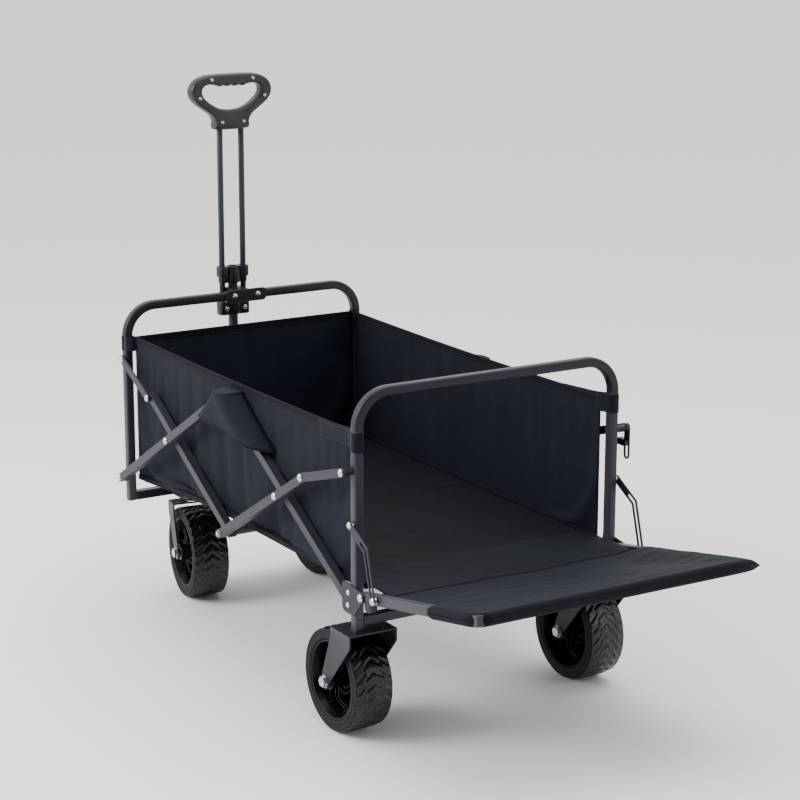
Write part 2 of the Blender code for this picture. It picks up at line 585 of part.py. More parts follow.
# ---- pull handle -----------------------------------------------------------------------------
def block(name, bottom, top, holes_through):
    """A moulded block around the pole and both rods."""
    half_w, half_d, corner = BLOCK_WIDTH / 2, BLOCK_DEPTH / 2, BLOCK_CORNER
    outline = []
    for quarter, (u, v) in enumerate(((1, 1), (-1, 1), (-1, -1), (1, -1))):
        outline += arc((u * (half_d - corner), v * (half_w - corner)), corner,
                       90 * quarter, 90 * quarter + 90, 3)
    add_object(name, sheet_metal(outline, holes_through, top - bottom, "Z"), "plastic",
               (POLE_X, 0, (top + bottom) / 2))


def pull_handle():
    pole_hole = circle((0, 0), POLE_RADIUS + PIN_CLEARANCE, 14)
    rod_holes = [circle((0, s * ROD_SPACING / 2), ROD_RADIUS + PIN_CLEARANCE, 12) for s in (-1, 1)]
    block("guide_block", GUIDE_BOTTOM, GUIDE_TOP, [pole_hole, *rod_holes])
    slider_pole = circle((0, 0), POLE_RADIUS + 2 * PIN_CLEARANCE, 14)
    block("slider_block", SLIDER_BOTTOM, SLIDER_TOP, [slider_pole, *rod_holes])
    pole = [(0, POLE_FOOT), (POLE_RADIUS, POLE_FOOT), (POLE_RADIUS, GUIDE_TOP), (0, GUIDE_TOP)]
    add_object("pole_tube", turned(pole, "Z", 14), "powder_coat", (POLE_X, 0, 0), smooth=True)
    for side, sign in SIDES.items():
        rod = [(0, SLIDER_BOTTOM), (ROD_RADIUS, SLIDER_BOTTOM), (ROD_RADIUS, ROD_TOP), (0, ROD_TOP)]
        add_object(f"handle_rod_{side}", turned(rod, "Z", 12), "powder_coat",
                   (POLE_X, sign * ROD_SPACING / 2, 0), smooth=True)
    grip()
    # clip plate on the hoop that the pole snaps into
    hoop_middle = FRONT_HOOP_TOP - TUBE / 2
    seat_radius = POLE_RADIUS + GRIP_CLEARANCE
    reach, half = POLE_STANDOFF - TUBE / 2 + CLIP_LIP, CLIP_WIDTH / 2
    clip = add_object("pole_clip", box((-reach, -half, -TUBE / 2), (-GAP, half, TUBE / 2)), "plastic",
                      (FRONT_X - TUBE / 2, 0, hoop_middle))
    seat = add_object("pole_clip_seat", turned([(0, -TUBE), (seat_radius, -TUBE),
                                                (seat_radius, TUBE), (0, TUBE)], "Z", 14),
                      "plastic", (POLE_X, 0, hoop_middle))
    combine(clip, seat, "DIFFERENCE")


def grip():
    """A closed D grip in two shells, with a finger opening."""
    half_top, half_neck = GRIP_WIDTH / 2, GRIP_NECK / 2
    corner, shoulder = GRIP_CORNER, GRIP_TOP - GRIP_SHOULDER
    end_y, end_z = half_top - corner, GRIP_TOP - corner - 2 * WELD
    neck_y = half_neck + OPENING_CORNER / 2
    outline = (arc((end_y, end_z), corner, -35, 85, 6) + arc((-end_y, end_z), corner, 95, 215, 6)
               + [(-neck_y, shoulder), (-half_neck, GRIP_BOTTOM),
                  (half_neck, GRIP_BOTTOM), (neck_y, shoulder)])
    small = OPENING_CORNER
    upper_y, upper_z = half_top - OPENING_RIM - small, GRIP_TOP - OPENING_RIM - small / 2 - 2 * WELD
    lower_y, lower_z = 4 / 3 * small, GRIP_TOP - 2 * OPENING_RIM - small + 2 * WELD
    opening = (arc((upper_y, upper_z), small, -40, 90, 4) + arc((-upper_y, upper_z), small, 90, 220, 4)
               + arc((-lower_y, lower_z), small, 220, 270, 2) + arc((lower_y, lower_z), small, 270, 320, 2))
    shell = GRIP_DEPTH / 2 - GAP / 2
    pocket_top, pocket_radius = ROD_TOP + WELD, ROD_RADIUS + GRIP_CLEARANCE
    below = GRIP_BOTTOM - small
    for name, sign in (("front", -1), ("rear", 1)):
        x = POLE_X + sign * (shell / 2 + GAP / 2)
        made = add_object(f"grip_shell_{name}", sheet_metal(outline, [opening], shell, "X"), "plastic",
                          (x, 0, 0))
        for side, side_sign in SIDES.items():
            y = side_sign * ROD_SPACING / 2
            pocket = add_object(f"rod_pocket_{name}_{side}",
                                turned([(0, below), (pocket_radius, below), (pocket_radius, pocket_top),
                                        (0, pocket_top)], "Z", 12),
                                "plastic", (POLE_X, y, 0))
            combine(made, pocket, "DIFFERENCE")


def centre_on_origin():
    """Moves everything so that the middle of the whole object's bounding box is over the origin."""
    bpy.context.view_layer.update()
    graph = bpy.context.evaluated_depsgraph_get()
    low, high = Vector((9, 9, 9)), Vector((-9, -9, -9))
    for thing in bpy.data.objects:
        if thing.hide_render:
            continue
        seen = thing.evaluated_get(graph)
        for corner in seen.bound_box:
            point = seen.matrix_world @ Vector(corner)
            low = Vector(map(min, low, point))
            high = Vector(map(max, high, point))
    middle = (low + high) / 2
    for thing in bpy.data.objects:
        thing.location -= Vector((middle.x, middle.y, low.z))


clear_scene()
hoop("rear_hoop", REAR_X, REAR_HOOP_TOP)
hoop("front_hoop", FRONT_X, FRONT_HOOP_TOP)
crossbars()
for side_name, side_sign in SIDES.items():
    scissor(side_name, side_sign)
mid_tube()
floor_and_walls()
running_gear()
tailgate()
fold_lock()
pull_handle()
centre_on_origin()
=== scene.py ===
"""Folding camp wagon: black oxford cloth on a powder-coated steel frame, tailgate down and handle up."""

import math

import bmesh
import bpy
import numpy as np
from mathutils import Matrix, Vector, noise


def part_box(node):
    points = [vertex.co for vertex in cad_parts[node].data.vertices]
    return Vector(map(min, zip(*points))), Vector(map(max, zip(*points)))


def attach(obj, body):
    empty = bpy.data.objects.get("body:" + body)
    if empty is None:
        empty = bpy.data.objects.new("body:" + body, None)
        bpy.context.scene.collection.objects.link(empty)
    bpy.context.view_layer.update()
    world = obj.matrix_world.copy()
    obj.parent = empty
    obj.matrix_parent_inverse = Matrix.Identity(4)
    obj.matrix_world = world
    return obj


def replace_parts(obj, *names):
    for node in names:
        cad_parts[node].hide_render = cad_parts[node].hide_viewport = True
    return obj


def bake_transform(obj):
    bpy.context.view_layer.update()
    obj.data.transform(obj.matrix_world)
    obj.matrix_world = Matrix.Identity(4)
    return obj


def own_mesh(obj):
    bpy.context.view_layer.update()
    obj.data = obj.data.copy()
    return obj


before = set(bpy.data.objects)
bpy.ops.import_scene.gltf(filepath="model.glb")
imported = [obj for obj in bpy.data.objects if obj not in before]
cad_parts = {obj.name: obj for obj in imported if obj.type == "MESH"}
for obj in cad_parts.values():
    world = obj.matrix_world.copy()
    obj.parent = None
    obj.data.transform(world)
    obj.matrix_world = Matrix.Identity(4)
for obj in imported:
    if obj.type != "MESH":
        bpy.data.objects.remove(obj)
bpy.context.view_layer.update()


# ---- Hoops and crossbars ---------------------------------------------------------------------
# Two inverted U hoops of 16.5 mm square steel tube, cold bent, and the crossbars welded between
# their posts. The powder coat is baked on after welding: charcoal on the hoops, black below.
def centre_of(name):
    low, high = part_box(name)
    return (low + high) / 2


REAR_POST = centre_of("rear_hoop")
FRONT_POST = centre_of("front_hoop")
MIDDLE = (REAR_POST + FRONT_POST) / 2       # middle of the wagon, between the hoops
REAR_X, FRONT_X = REAR_POST.x - MIDDLE.x, FRONT_POST.x - MIDDLE.x
SIDES = {"left": -1, "right": 1}
UP = (0, 0, 1)
TUBE = 0.0165
TUBE_CORNER = 0.0030
BEND = 0.065
POST_OUT = (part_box("rear_hoop")[1].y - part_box("rear_hoop")[0].y) / 2
POST_IN = POST_OUT - TUBE


def at(x, y, z):
    """A point measured from the middle of the wagon, on the ground."""
    return Vector((x + MIDDLE.x, y + MIDDLE.y, z))


def rgb(code):
    """Linear colour from an sRGB hex value."""
    parts = [int(code[i:i + 2], 16) / 255 for i in (1, 3, 5)]
    return (*[p / 12.92 if p <= 0.04045 else ((p + 0.055) / 1.055) ** 2.4 for p in parts], 1.0)


def node(tree, kind, settings=None, **links):
    """Adds one shader node. Settings are properties or input values, and links are sockets."""
    made = tree.nodes.new(kind)
    for key, value in (settings or {}).items():
        if hasattr(made, key):
            setattr(made, key, value)
        else:
            made.inputs[int(key) if key.isdigit() else key.replace("_", " ")].default_value = value
    for key, socket in links.items():
        tree.links.new(socket, made.inputs[int(key[1:]) if key[1:].isdigit() else key.replace("_", " ")])
    return made


def start_material(name, colour, roughness, ior=1.5, metallic=0.0, specular=0.5):
    """A new material, its node tree and its shader, with the constant values on the shader itself."""
    made = bpy.data.materials.new(name)
    made.use_nodes = True
    shader = made.node_tree.nodes["Principled BSDF"]
    shader.inputs["Base Color"].default_value = rgb(colour)
    shader.inputs["Roughness"].default_value = roughness
    shader.inputs["Metallic"].default_value = metallic
    shader.inputs["Specular IOR Level"].default_value = specular
    if not metallic:
        shader.inputs["IOR"].default_value = ior
    return made, made.node_tree, shader


def ramp(tree, value, low, high, dark, light):
    """Turns a value between low and high into a colour between dark and light."""
    made = node(tree, "ShaderNodeValToRGB", i0=value)
    ends = made.color_ramp.elements
    ends[0].position, ends[0].color = low, rgb(dark)
    ends[1].position, ends[1].color = high, rgb(light)
    return made.outputs["Color"]


def powder_coat(name, dark, light):
    """Steel with a baked powder coat: a fine orange-peel skin, a satin gloss and cloudy thickness."""
    made, tree, shader = start_material(name, dark, 0.42, specular=0.24)
    place = node(tree, "ShaderNodeTexCoord").outputs["Object"]
    # orange peel is about 0.4 mm across; it is drawn at 1.2 mm so that it shows
    peel = node(tree, "ShaderNodeTexNoise", {"Scale": 1 / 0.0012, "Detail": 2.0}, Vector=place)
    cloudy = node(tree, "ShaderNodeTexNoise", {"Scale": 18.0, "Detail": 4.0}, Vector=place)
    edge = node(tree, "ShaderNodeNewGeometry").outputs["Pointiness"]
    worn = node(tree, "ShaderNodeMapRange", {"From_Min": 0.53, "From_Max": 0.62, "To_Max": 0.45}, Value=edge)
    coat = ramp(tree, cloudy.outputs[0], 0.3, 0.75, dark, light)
    mixed = node(tree, "ShaderNodeMix", {"data_type": "RGBA", "7": rgb("#6B6F79")},
                 i0=worn.outputs["Result"], i6=coat)
    tree.links.new(mixed.outputs[2], shader.inputs["Base Color"])
    gloss = node(tree, "ShaderNodeMapRange", {"To_Min": 0.30, "To_Max": 0.50}, Value=cloudy.outputs[0])
    tree.links.new(gloss.outputs["Result"], shader.inputs["Roughness"])
    bump = node(tree, "ShaderNodeBump", {"Strength": 0.2, "Distance": 0.0003}, Height=peel.outputs[0])
    tree.links.new(bump.outputs["Normal"], shader.inputs["Normal"])
    return made


charcoal_coat = powder_coat("charcoal_powder_coat_baked", "#14161C", "#1B1E26")
black_coat = powder_coat("black_powder_coat_baked", "#0E0F12", "#16181C")


def object_from(name, verts, faces, material, smooth=35):
    """A piece from points and faces. Edges that turn by more than smooth degrees stay sharp."""
    mesh = bpy.data.meshes.new(name)
    mesh.from_pydata([tuple(v) for v in verts], [], faces)
    bm = bmesh.new()
    bm.from_mesh(mesh)
    bmesh.ops.recalc_face_normals(bm, faces=bm.faces)
    bm.to_mesh(mesh)
    bm.free()
    mesh.materials.append(material)
    mesh.shade_smooth()
    if smooth < 180:
        mesh.set_sharp_from_angle(angle=math.radians(smooth))
    made = bpy.data.objects.new(name, mesh)
    bpy.context.scene.collection.objects.link(made)
    return made


def loft(name, rings, material, closed=False, caps=True, smooth=35):
    """A skin over rings of points. A closed loft joins its last ring to its first."""
    count = len(rings[0])
    verts = [p for ring in rings for p in ring]
    faces = []
    for i in range(len(rings) if closed else len(rings) - 1):
        a, b = i * count, (i + 1) % len(rings) * count
        faces += [(a + k, a + (k + 1) % count, b + (k + 1) % count, b + k) for k in range(count)]
    if caps and not closed:
        faces += [tuple(range(count)), tuple(range(len(verts) - count, len(verts)))]
    return object_from(name, verts, faces, material, smooth)


def rounded_box_section(width, height, corner, steps=3):
    """Section of a drawn rectangular tube or a folded tape: a rectangle with round corners."""
    points = []
    for k, (sa, sb) in enumerate(((1, 1), (-1, 1), (-1, -1), (1, -1))):
        for i in range(steps + 1):
            turn = math.radians(90 * k + 90 * i / steps)
            points.append((sa * (width / 2 - corner) + corner * math.cos(turn),
                           sb * (height / 2 - corner) + corner * math.sin(turn)))
    return points


def sweep(name, path, section, up, material, smooth=35):
    """A section carried along a path. The section's second axis stays along up."""
    path, up = [Vector(p) for p in path], Vector(up).normalized()
    rings = []
    for i, p in enumerate(path):
        before, after = path[max(i - 1, 0)], path[min(i + 1, len(path) - 1)]
        forward = (after - before).normalized()
        side = forward.cross(up).normalized()
        lift = side.cross(forward).normalized()
        rings.append([p + side * a + lift * b for a, b in section])
    return loft(name, rings, material, smooth=smooth)


def bent_hoop(name, node_name, body):
    """A hoop bent from one tube, over the posts' feet at both ends."""
    low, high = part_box(node_name)
    x, y, reach = centre_of(node_name).x, MIDDLE.y, POST_OUT - TUBE / 2
    radius = BEND - TUBE / 2
    path = [(x, y - reach, low.z), (x, y - reach, high.z - BEND - 0.001)]
    for start, sign in ((180, -1), (90, 1)):
        for i in range(15):
            turn = math.radians(start - 90 * i / 14)
            path.append((x, y + sign * (POST_OUT - BEND) + radius * math.cos(turn),
                         high.z - BEND + radius * math.sin(turn)))
    path += [(x, y + reach, high.z - BEND - 0.001), (x, y + reach, low.z)]
    made = sweep(name, path, rounded_box_section(TUBE, TUBE, TUBE_CORNER), (1, 0, 0), charcoal_coat)
    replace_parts(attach(made, body), node_name)
    return made


def finish_node(name, material, round_edge=0.0012):
    """Gives a CAD node its material, and its sharp edges the small radius of real tube or plate."""
    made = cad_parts[name]
    made.data.materials.clear()
    made.data.materials.append(material)
    if round_edge:
        weld = made.modifiers.new("weld", "WELD")
        weld.merge_threshold = 1e-5
        bevel = made.modifiers.new("edge", "BEVEL")
        bevel.width, bevel.segments = round_edge, 2
        bevel.limit_method, bevel.angle_limit = "ANGLE", math.radians(28)
        bevel.harden_normals = True
    return made


bent_hoop("rear_hoop_tube", "rear_hoop", "rear_frame")
bent_hoop("front_hoop_tube", "front_hoop", "front_frame")
for part in ("rear_crossbar", "front_crossbar"):
    finish_node(part, black_coat, 0.0018)


# ---- Scissor linkage -------------------------------------------------------------------------
# Four bars of 15 mm square tube and two flat links on each side, hung on zinc-plated rivets with
# domed heads. The tube ends are pressed round, so that they clear each other as the wagon folds.
LOW_PIVOT, TOP_PIVOT = 0.237, 0.480
REAR_PIVOT_X = REAR_X - 0.0243
MID_X = (FRONT_X + REAR_PIVOT_X) / 2
SPAN = REAR_PIVOT_X - FRONT_X
CROSS_RISE = (TOP_PIVOT - LOW_PIVOT) / 2
JOINT_INSET, JOINT_HEIGHT = 0.1101, 0.4164
FRONT_LINK_TOP, REAR_LINK_TOP = 0.469, 0.457        # height of the short links' rivets on the posts
LINK_FACE, BAR_FACE, OUTER_LINK_FACE = 0.26375, 0.27475, 0.28025
BRACKET_FACE, STAY_FACE = 0.26105, 0.26505
RIVET_RADIUS, RIVET_HEIGHT = 0.0068, 0.0030


def zinc_plate():
    """Steel with clear zinc plating: bright and bluish, with faint handling marks."""
    made, tree, shader = start_material("zinc_plated_steel_bright", "#C9CDD3", 0.25, metallic=1.0)
    place = node(tree, "ShaderNodeTexCoord").outputs["Object"]
    marks = node(tree, "ShaderNodeTexNoise", {"Scale": 900.0, "Detail": 5.0}, Vector=place)
    tree.links.new(ramp(tree, marks.outputs[0], 0.3, 0.8, "#B4B9C0", "#E3E6EA"), shader.inputs["Base Color"])
    gloss = node(tree, "ShaderNodeMapRange", {"To_Min": 0.16, "To_Max": 0.38}, Value=marks.outputs[0])
    tree.links.new(gloss.outputs["Result"], shader.inputs["Roughness"])
    return made


zinc = zinc_plate()


def turned(name, profile, material, sides=28, closed=False, smooth=35):
    """A piece turned round the Y axis, from (radius, place along the axis) points."""
    rings = [[(r * math.cos(2 * math.pi * k / sides), y, r * math.sin(2 * math.pi * k / sides))
              for k in range(sides)] for r, y in profile]
    return loft(name, rings, material, closed=closed, smooth=smooth)


def rivet(name, x, y, z, body, radius=RIVET_RADIUS, height=RIVET_HEIGHT, material=None, sink=0.002):
    """A domed head on a face that looks outwards at y."""
    sign = 1 if y > 0 else -1
    dome = [(radius * math.cos(math.radians(a)), sign * height * math.sin(math.radians(a)))
            for a in (0, 15, 30, 45, 60, 75, 88)]
    washer = [(radius * 0.98, -sign * sink), (radius, 0)]
    made = turned(name, washer + dome[1:], material or zinc)
    made.location = at(x, y, z)
    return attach(made, body)


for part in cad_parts:
    if part.startswith(("long_bar", "short_bar")):
        finish_node(part, charcoal_coat, 0.0018)
    elif part.startswith("short_link"):
        finish_node(part, charcoal_coat, 0.0008)
    elif "_pin_" in part:
        finish_node(part, zinc, 0)
finish_node("mid_tube", black_coat, 0)

for side, sign in SIDES.items():
    heads = (
        ("front_post_top", FRONT_X, LINK_FACE, FRONT_LINK_TOP, "front_frame"),
        ("front_joint", FRONT_X + JOINT_INSET, LINK_FACE, JOINT_HEIGHT, "short_link_front"),
        ("front_crossing", FRONT_X + SPAN / 4, BAR_FACE, LOW_PIVOT + CROSS_RISE, "long_bar_front"),
        ("front_post_low", FRONT_X, BAR_FACE, LOW_PIVOT, "long_bar_front"),
        ("mid_top", MID_X, BAR_FACE, TOP_PIVOT, "long_bar_front"),
        ("rear_crossing", REAR_PIVOT_X - SPAN / 4, BAR_FACE, LOW_PIVOT + CROSS_RISE, "short_bar_rear"),
        ("mid_low", MID_X, BAR_FACE, LOW_PIVOT, "short_bar_rear"),
        ("rear_joint", REAR_PIVOT_X - JOINT_INSET, OUTER_LINK_FACE, JOINT_HEIGHT, "short_link_rear"),
        ("rear_post_top", REAR_X, OUTER_LINK_FACE, REAR_LINK_TOP, "short_link_rear"),
    )
    for where, x, y, z, body in heads:
        rider = body if body == "front_frame" else f"{body}_{side}"
        rivet(f"rivet_{where}_{side}", x, sign * y, z, rider)


# ---- Basket walls ----------------------------------------------------------------------------
# The basket is sewn from 600 denier polyester oxford, coated on the back. Its walls hang between
# the posts, slack enough to fold, with a bound top edge and a turned hem below.
WALL_Y = POST_IN - 0.0035
WALL_FRONT, WALL_REAR = FRONT_X + 0.0130, REAR_X - 0.0170
WALL_TOP = 0.5115
HEM_FRONT, HEM_MID, HEM_REAR = 0.2330, 0.2560, 0.2575
CLOTH, DOUBLE_CLOTH = 0.0012, 0.0016
TOP_BINDING, HEM_TAPE = (0.0120, 0.0036), (0.0100, 0.0034)      # width and thickness


def oxford_cloth(name, across, dark, light, slack_marks=1.0):
    """Plain-woven polyester: square weave with a dull sheen, and the soft shading of handled cloth."""
    made, tree, shader = start_material(name, dark, 0.78, specular=0.10)
    shader.inputs["Sheen Weight"].default_value = 0.035
    shader.inputs["Sheen Roughness"].default_value = 0.45
    shader.inputs["Sheen Tint"].default_value = rgb("#A9B4C6")
    place = node(tree, "ShaderNodeTexCoord").outputs["Object"]
    # threads lie 0.45 mm apart; they are drawn 1.8 mm apart so that the weave shows
    scale = 0.314 / 0.0018
    threads = [node(tree, "ShaderNodeTexWave", {"bands_direction": way, "Scale": scale, "Distortion": 0.6,
                                                "Detail": 1.0}, Vector=place) for way in across]
    weave = node(tree, "ShaderNodeMath", {"operation": "MULTIPLY"}, i0=threads[0].outputs["Fac"],
                 i1=threads[1].outputs["Fac"])
    cloudy = node(tree, "ShaderNodeTexNoise", {"Scale": 9.0, "Detail": 6.0, "Roughness": 0.62}, Vector=place)
    tree.links.new(ramp(tree, cloudy.outputs[0], 0.32, 0.72, dark, light), shader.inputs["Base Color"])
    gloss = node(tree, "ShaderNodeMapRange", {"To_Min": 0.66, "To_Max": 0.86}, Value=cloudy.outputs[0])
    tree.links.new(gloss.outputs["Result"], shader.inputs["Roughness"])
    crease = node(tree, "ShaderNodeTexNoise", {"Scale": 22.0, "Detail": 3.0, "Distortion": 0.8}, Vector=place)
    soft = node(tree, "ShaderNodeBump", {"Strength": 0.35 * slack_marks, "Distance": 0.004},
                Height=crease.outputs[0])
    fine = node(tree, "ShaderNodeBump", {"Strength": 0.30, "Distance": 0.0005},
                Height=weave.outputs[0], Normal=soft.outputs["Normal"])
    tree.links.new(fine.outputs["Normal"], shader.inputs["Normal"])
    return made


upright_cloth = oxford_cloth("polyester_oxford_woven_upright", ("X", "Z"), "#12151C", "#191D26")
# the front wall is the same oxford drawn lighter than the side walls: painted light on its inner face, which
# is in shade
cross_cloth_painted_light = oxford_cloth("polyester_oxford_woven_across_painted_light", ("Y", "Z"), "#171B24", "#1F2430")
# the tailgate cover and join strip are the same oxford drawn darker than the walls: painted shade on their
# upward faces
flat_cloth_painted_shade = oxford_cloth("polyester_oxford_woven_flat_painted_shade", ("X", "Y"), "#0C0F14", "#12151C", 1.6)
# the floor is the same oxford again, darker still: painted shade for the inside of the basket
floor_cloth_painted_shade = oxford_cloth("polyester_oxford_woven_floor_painted_shade", ("X", "Y"), "#080A0E", "#0E1116", 1.8)
binding_tape = oxford_cloth("polyester_binding_tape_woven", ("X", "Z"), "#0A0B0F", "#101218", 0.3)
thread, tree, shader = start_material("polyester_sewing_thread_twisted", "#1E2025", 0.5)
twist = node(tree, "ShaderNodeTexNoise", {"Scale": 2500.0},
             Vector=node(tree, "ShaderNodeTexCoord").outputs["Object"])
tree.links.new(node(tree, "ShaderNodeBump", {"Strength": 0.4, "Distance": 0.0002},
                    Height=twist.outputs[0]).outputs["Normal"], shader.inputs["Normal"])


def cloth_grid(name, place, nu, nv, material, thick=CLOTH):
    """A sheet of cloth from a function of two shares, across and up."""
    verts = [place(i / nu, j / nv) for j in range(nv + 1) for i in range(nu + 1)]
    faces = [(j * (nu + 1) + i, j * (nu + 1) + i + 1, (j + 1) * (nu + 1) + i + 1, (j + 1) * (nu + 1) + i)
             for j in range(nv) for i in range(nu)]
    made = object_from(name, verts, faces, material, 180)
    if thick:
        thicken = made.modifiers.new("thickness", "SOLIDIFY")
        thicken.thickness, thicken.offset = thick, 0
    return made


def drape(sheet, held, slack, out, most_out, most_in, frames=22):
    """Lets a sheet with a little spare cloth settle under its own weight, between the points held.
    It may swell by most_out and sink by most_in along out, so that it stays clear of the frame."""
    start = np.array([v.co for v in sheet.data.vertices])
    group = sheet.vertex_groups.new(name="held")
    for i, weight in enumerate(held):
        if weight > 0:
            group.add([i], weight, "REPLACE")
    thickness = sheet.modifiers.get("thickness")
    thickness.show_viewport = False
    cloth = sheet.modifiers.new("drape", "CLOTH")
    cloth.settings.quality = 6
    cloth.settings.mass = 0.25
    cloth.settings.tension_stiffness = cloth.settings.compression_stiffness = 20
    cloth.settings.bending_stiffness = 1.2
    cloth.settings.air_damping = 3.0
    cloth.settings.shrink_min = -slack
    cloth.settings.vertex_group_mass = "held"
    cloth.collision_settings.use_collision = False
    for tick in range(1, frames + 1):
        bpy.context.scene.frame_set(tick)
    settled = sheet.evaluated_get(bpy.context.evaluated_depsgraph_get())
    moved = np.array([v.co for v in settled.data.vertices])
    sheet.modifiers.remove(cloth)
    sheet.vertex_groups.remove(group)
    thickness.show_viewport = True
    bpy.context.scene.frame_set(1)
    out = np.array(out, float)
    along = (moved - start) @ out
    limited = np.where(along > 0, most_out * np.tanh(along / most_out), most_in * np.tanh(along / most_in))
    moved += np.outer(limited - along, out)
    sheet.data.vertices.foreach_set("co", moved.astype(np.float32).ravel())
    sheet.data.update()


def hem_height(x):
    """The lower edge of a side wall: low at the front post, and up on the floor rail behind it."""
    share = (x - WALL_FRONT) / (WALL_REAR - WALL_FRONT)
    if share < 0.5:
        return HEM_FRONT + (HEM_MID - HEM_FRONT) * math.sin(math.pi * share) ** 1.2
    return HEM_MID + (HEM_REAR - HEM_MID) * (share - 0.5) * 2


def top_height(x):
    """The bound top edge, which dips a little between the posts."""
    share = (x - WALL_FRONT) / (WALL_REAR - WALL_FRONT)
    return WALL_TOP - 0.0035 * math.sin(math.pi * share)


def ribbon(name, path, width, thick, up, material):
    """A flat tape carried along a path, its width along up."""
    return sweep(name, path, rounded_box_section(thick, width, thick * 0.45, 2), up, material)


def stitch_row(name, path, out, length=0.0040, pitch=0.0060):
    """A row of lockstitches: short raised threads along a path, lifted along out."""
    path, out = [Vector(p) for p in path], Vector(out)
    verts, faces, travelled, next_at = [], [], 0.0, 0.0
    radius = 0.00045
    for a, b in zip(path, path[1:]):
        step = (b - a).length
        forward = (b - a) / step
        side = forward.cross(out)
        while next_at < travelled + step:
            start = a + forward * (next_at - travelled)
            base = len(verts)
            for share, lift, size in ((0, 0.0, 0.5), (0.25, 1.0, 1.0), (0.75, 1.0, 1.0), (1, 0.0, 0.5)):
                centre = start + forward * length * share + out * radius * lift
                for turn in (0, 90, 180, 270):
                    angle = math.radians(turn)
                    verts.append(centre + (side * math.cos(angle) + out * math.sin(angle)) * radius * size)
            for ring in range(3):
                for k in range(4):
                    p, q = base + ring * 4 + k, base + ring * 4 + (k + 1) % 4
                    faces.append((p, q, q + 4, p + 4))
            faces += [(base, base + 1, base + 2, base + 3), (base + 12, base + 13, base + 14, base + 15)]
            next_at += pitch
        travelled += step
    return object_from(name, verts, faces, thread, 180)


def fold_with_basket(piece):
    """The piece stays with the rear posts, on a mesh of its own."""
    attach(piece, "rear_frame")
    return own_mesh(piece)


WALL_STEPS, POCKET_STEPS = (96, 34), (50, 32)
# the pocket's two lower feet and the two ends of its fold, along and up
POCKET_FEET = Vector((-0.114, 0.4380)), Vector((0.142, 0.4165))
POCKET_PEAK = Vector((-0.025, 0.4955)), Vector((0.025, 0.4955))
POCKET_FOLD = 0.84
for side, sign in SIDES.items():
    def wall_point(u, v, sign=sign):
        x = WALL_FRONT + (WALL_REAR - WALL_FRONT) * u
        low, high = hem_height(x), top_height(x)
        return at(x, sign * WALL_Y, low + (high - low) * v)

    wall = cloth_grid(f"side_wall_{side}", wall_point, *WALL_STEPS, upright_cloth)
    nu, nv = WALL_STEPS
    held = [1.0 if j in (0, nv) or i in (0, nu) else (0.6 if j == nv - 1 else 0.0)
            for j in range(nv + 1) for i in range(nu + 1)]
    drape(wall, held, 0.012, (0, sign, 0), 0.0012, 0.010)
    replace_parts(fold_with_basket(wall), f"side_panel_{side}")
    xs = [WALL_FRONT + (WALL_REAR - WALL_FRONT) * i / 48 for i in range(49)]
    top_path = [at(x, sign * WALL_Y, top_height(x) - 0.0035) for x in xs]
    binding = fold_with_basket(ribbon(f"top_binding_{side}", top_path, *TOP_BINDING, UP, binding_tape))
    hem_path = [at(x, sign * WALL_Y, hem_height(x) + 0.0045) for x in xs]
    hem = fold_with_basket(ribbon(f"lower_hem_{side}", hem_path, *HEM_TAPE, UP, binding_tape))
    seams = []
    for face in (1, -1):
        lift = sign * face
        seams.append(stitch_row(f"top_stitching_{side}_{'outer' if face > 0 else 'inner'}",
                                [p + Vector((0, lift * 0.0018, -0.0035)) for p in top_path], (0, lift, 0)))
    seams.append(stitch_row(f"hem_stitching_{side}",
                            [p + Vector((0, sign * 0.0017, 0.0028)) for p in hem_path], (0, sign, 0)))
    for seam in seams:
        fold_with_basket(seam)

    # a pocket over the linkage's top joint: a tent of cloth with a fold for its ridge, whose lower
    # edge is open for the bars
    sewn_y = WALL_Y + 0.0012
    pocket_y = BAR_FACE + 0.0062

    def pocket_point(u, v, sign=sign):
        """v runs from the open lower edge up to the fold, and u from the front to the rear."""
        rise, over = min(v / POCKET_FOLD, 1), max((v - POCKET_FOLD) / (1 - POCKET_FOLD), 0)
        low = POCKET_FEET[0].lerp(POCKET_FEET[1], u)
        high = POCKET_PEAK[0].lerp(POCKET_PEAK[1], u)
        x, z = low.lerp(high, rise)
        z += 0.0035 * over + 0.007 * math.sin(math.pi * u) * (1 - rise)
        turned_in = 1 - (1 - abs(2 * u - 1) ** 6) * (1 - over ** 2.2)
        ripple = 0.0009 * math.sin(9 * u + 4 * v) * (1 - turned_in)
        return at(x, sign * (sewn_y + (pocket_y - sewn_y) * (1 - turned_in) + ripple), z)

    pocket = fold_with_basket(
        cloth_grid(f"linkage_pocket_{side}", pocket_point, *POCKET_STEPS, upright_cloth, DOUBLE_CLOTH))
    proud = Vector((0, sign * 0.0008, 0))
    for where, u in (("front", 0.012), ("rear", 0.988)):
        path = [pocket_point(u, POCKET_FOLD * v / 20) + proud for v in range(21)]
        fold_with_basket(sweep(f"pocket_seam_{where}_{side}", path,
                                            rounded_box_section(0.0050, 0.0016, 0.0007, 2), (0, sign, 0),
                                            binding_tape))
    low_edge = [pocket_point(u / 48, 0.012) for u in range(49)]
    fold_with_basket(sweep(f"pocket_edge_{side}", low_edge,
                                        rounded_box_section(0.0044, 0.0030, 0.0012, 2),
                                        (0, sign, 0), binding_tape))


# ---- Front wall and corner sleeves -----------------------------------------------------------
# The basket's front wall closes the end under the handle. Sewn sleeves hold its top corners on the
# front posts, and straps with a stitched box hold the side walls to the rear posts.
FRONT_CLOTH_X = WALL_FRONT + 0.0004
FRONT_STEPS = 48, 28
SLEEVE_LOW, SLEEVE_HIGH = 0.4860, 0.5135
STRAP_LOW, STRAP_HIGH, STRAP_REACH = 0.4800, 0.5120, 0.140
STRAP_RISE = 0.0080                 # how much higher a strap is at its post than at its tail


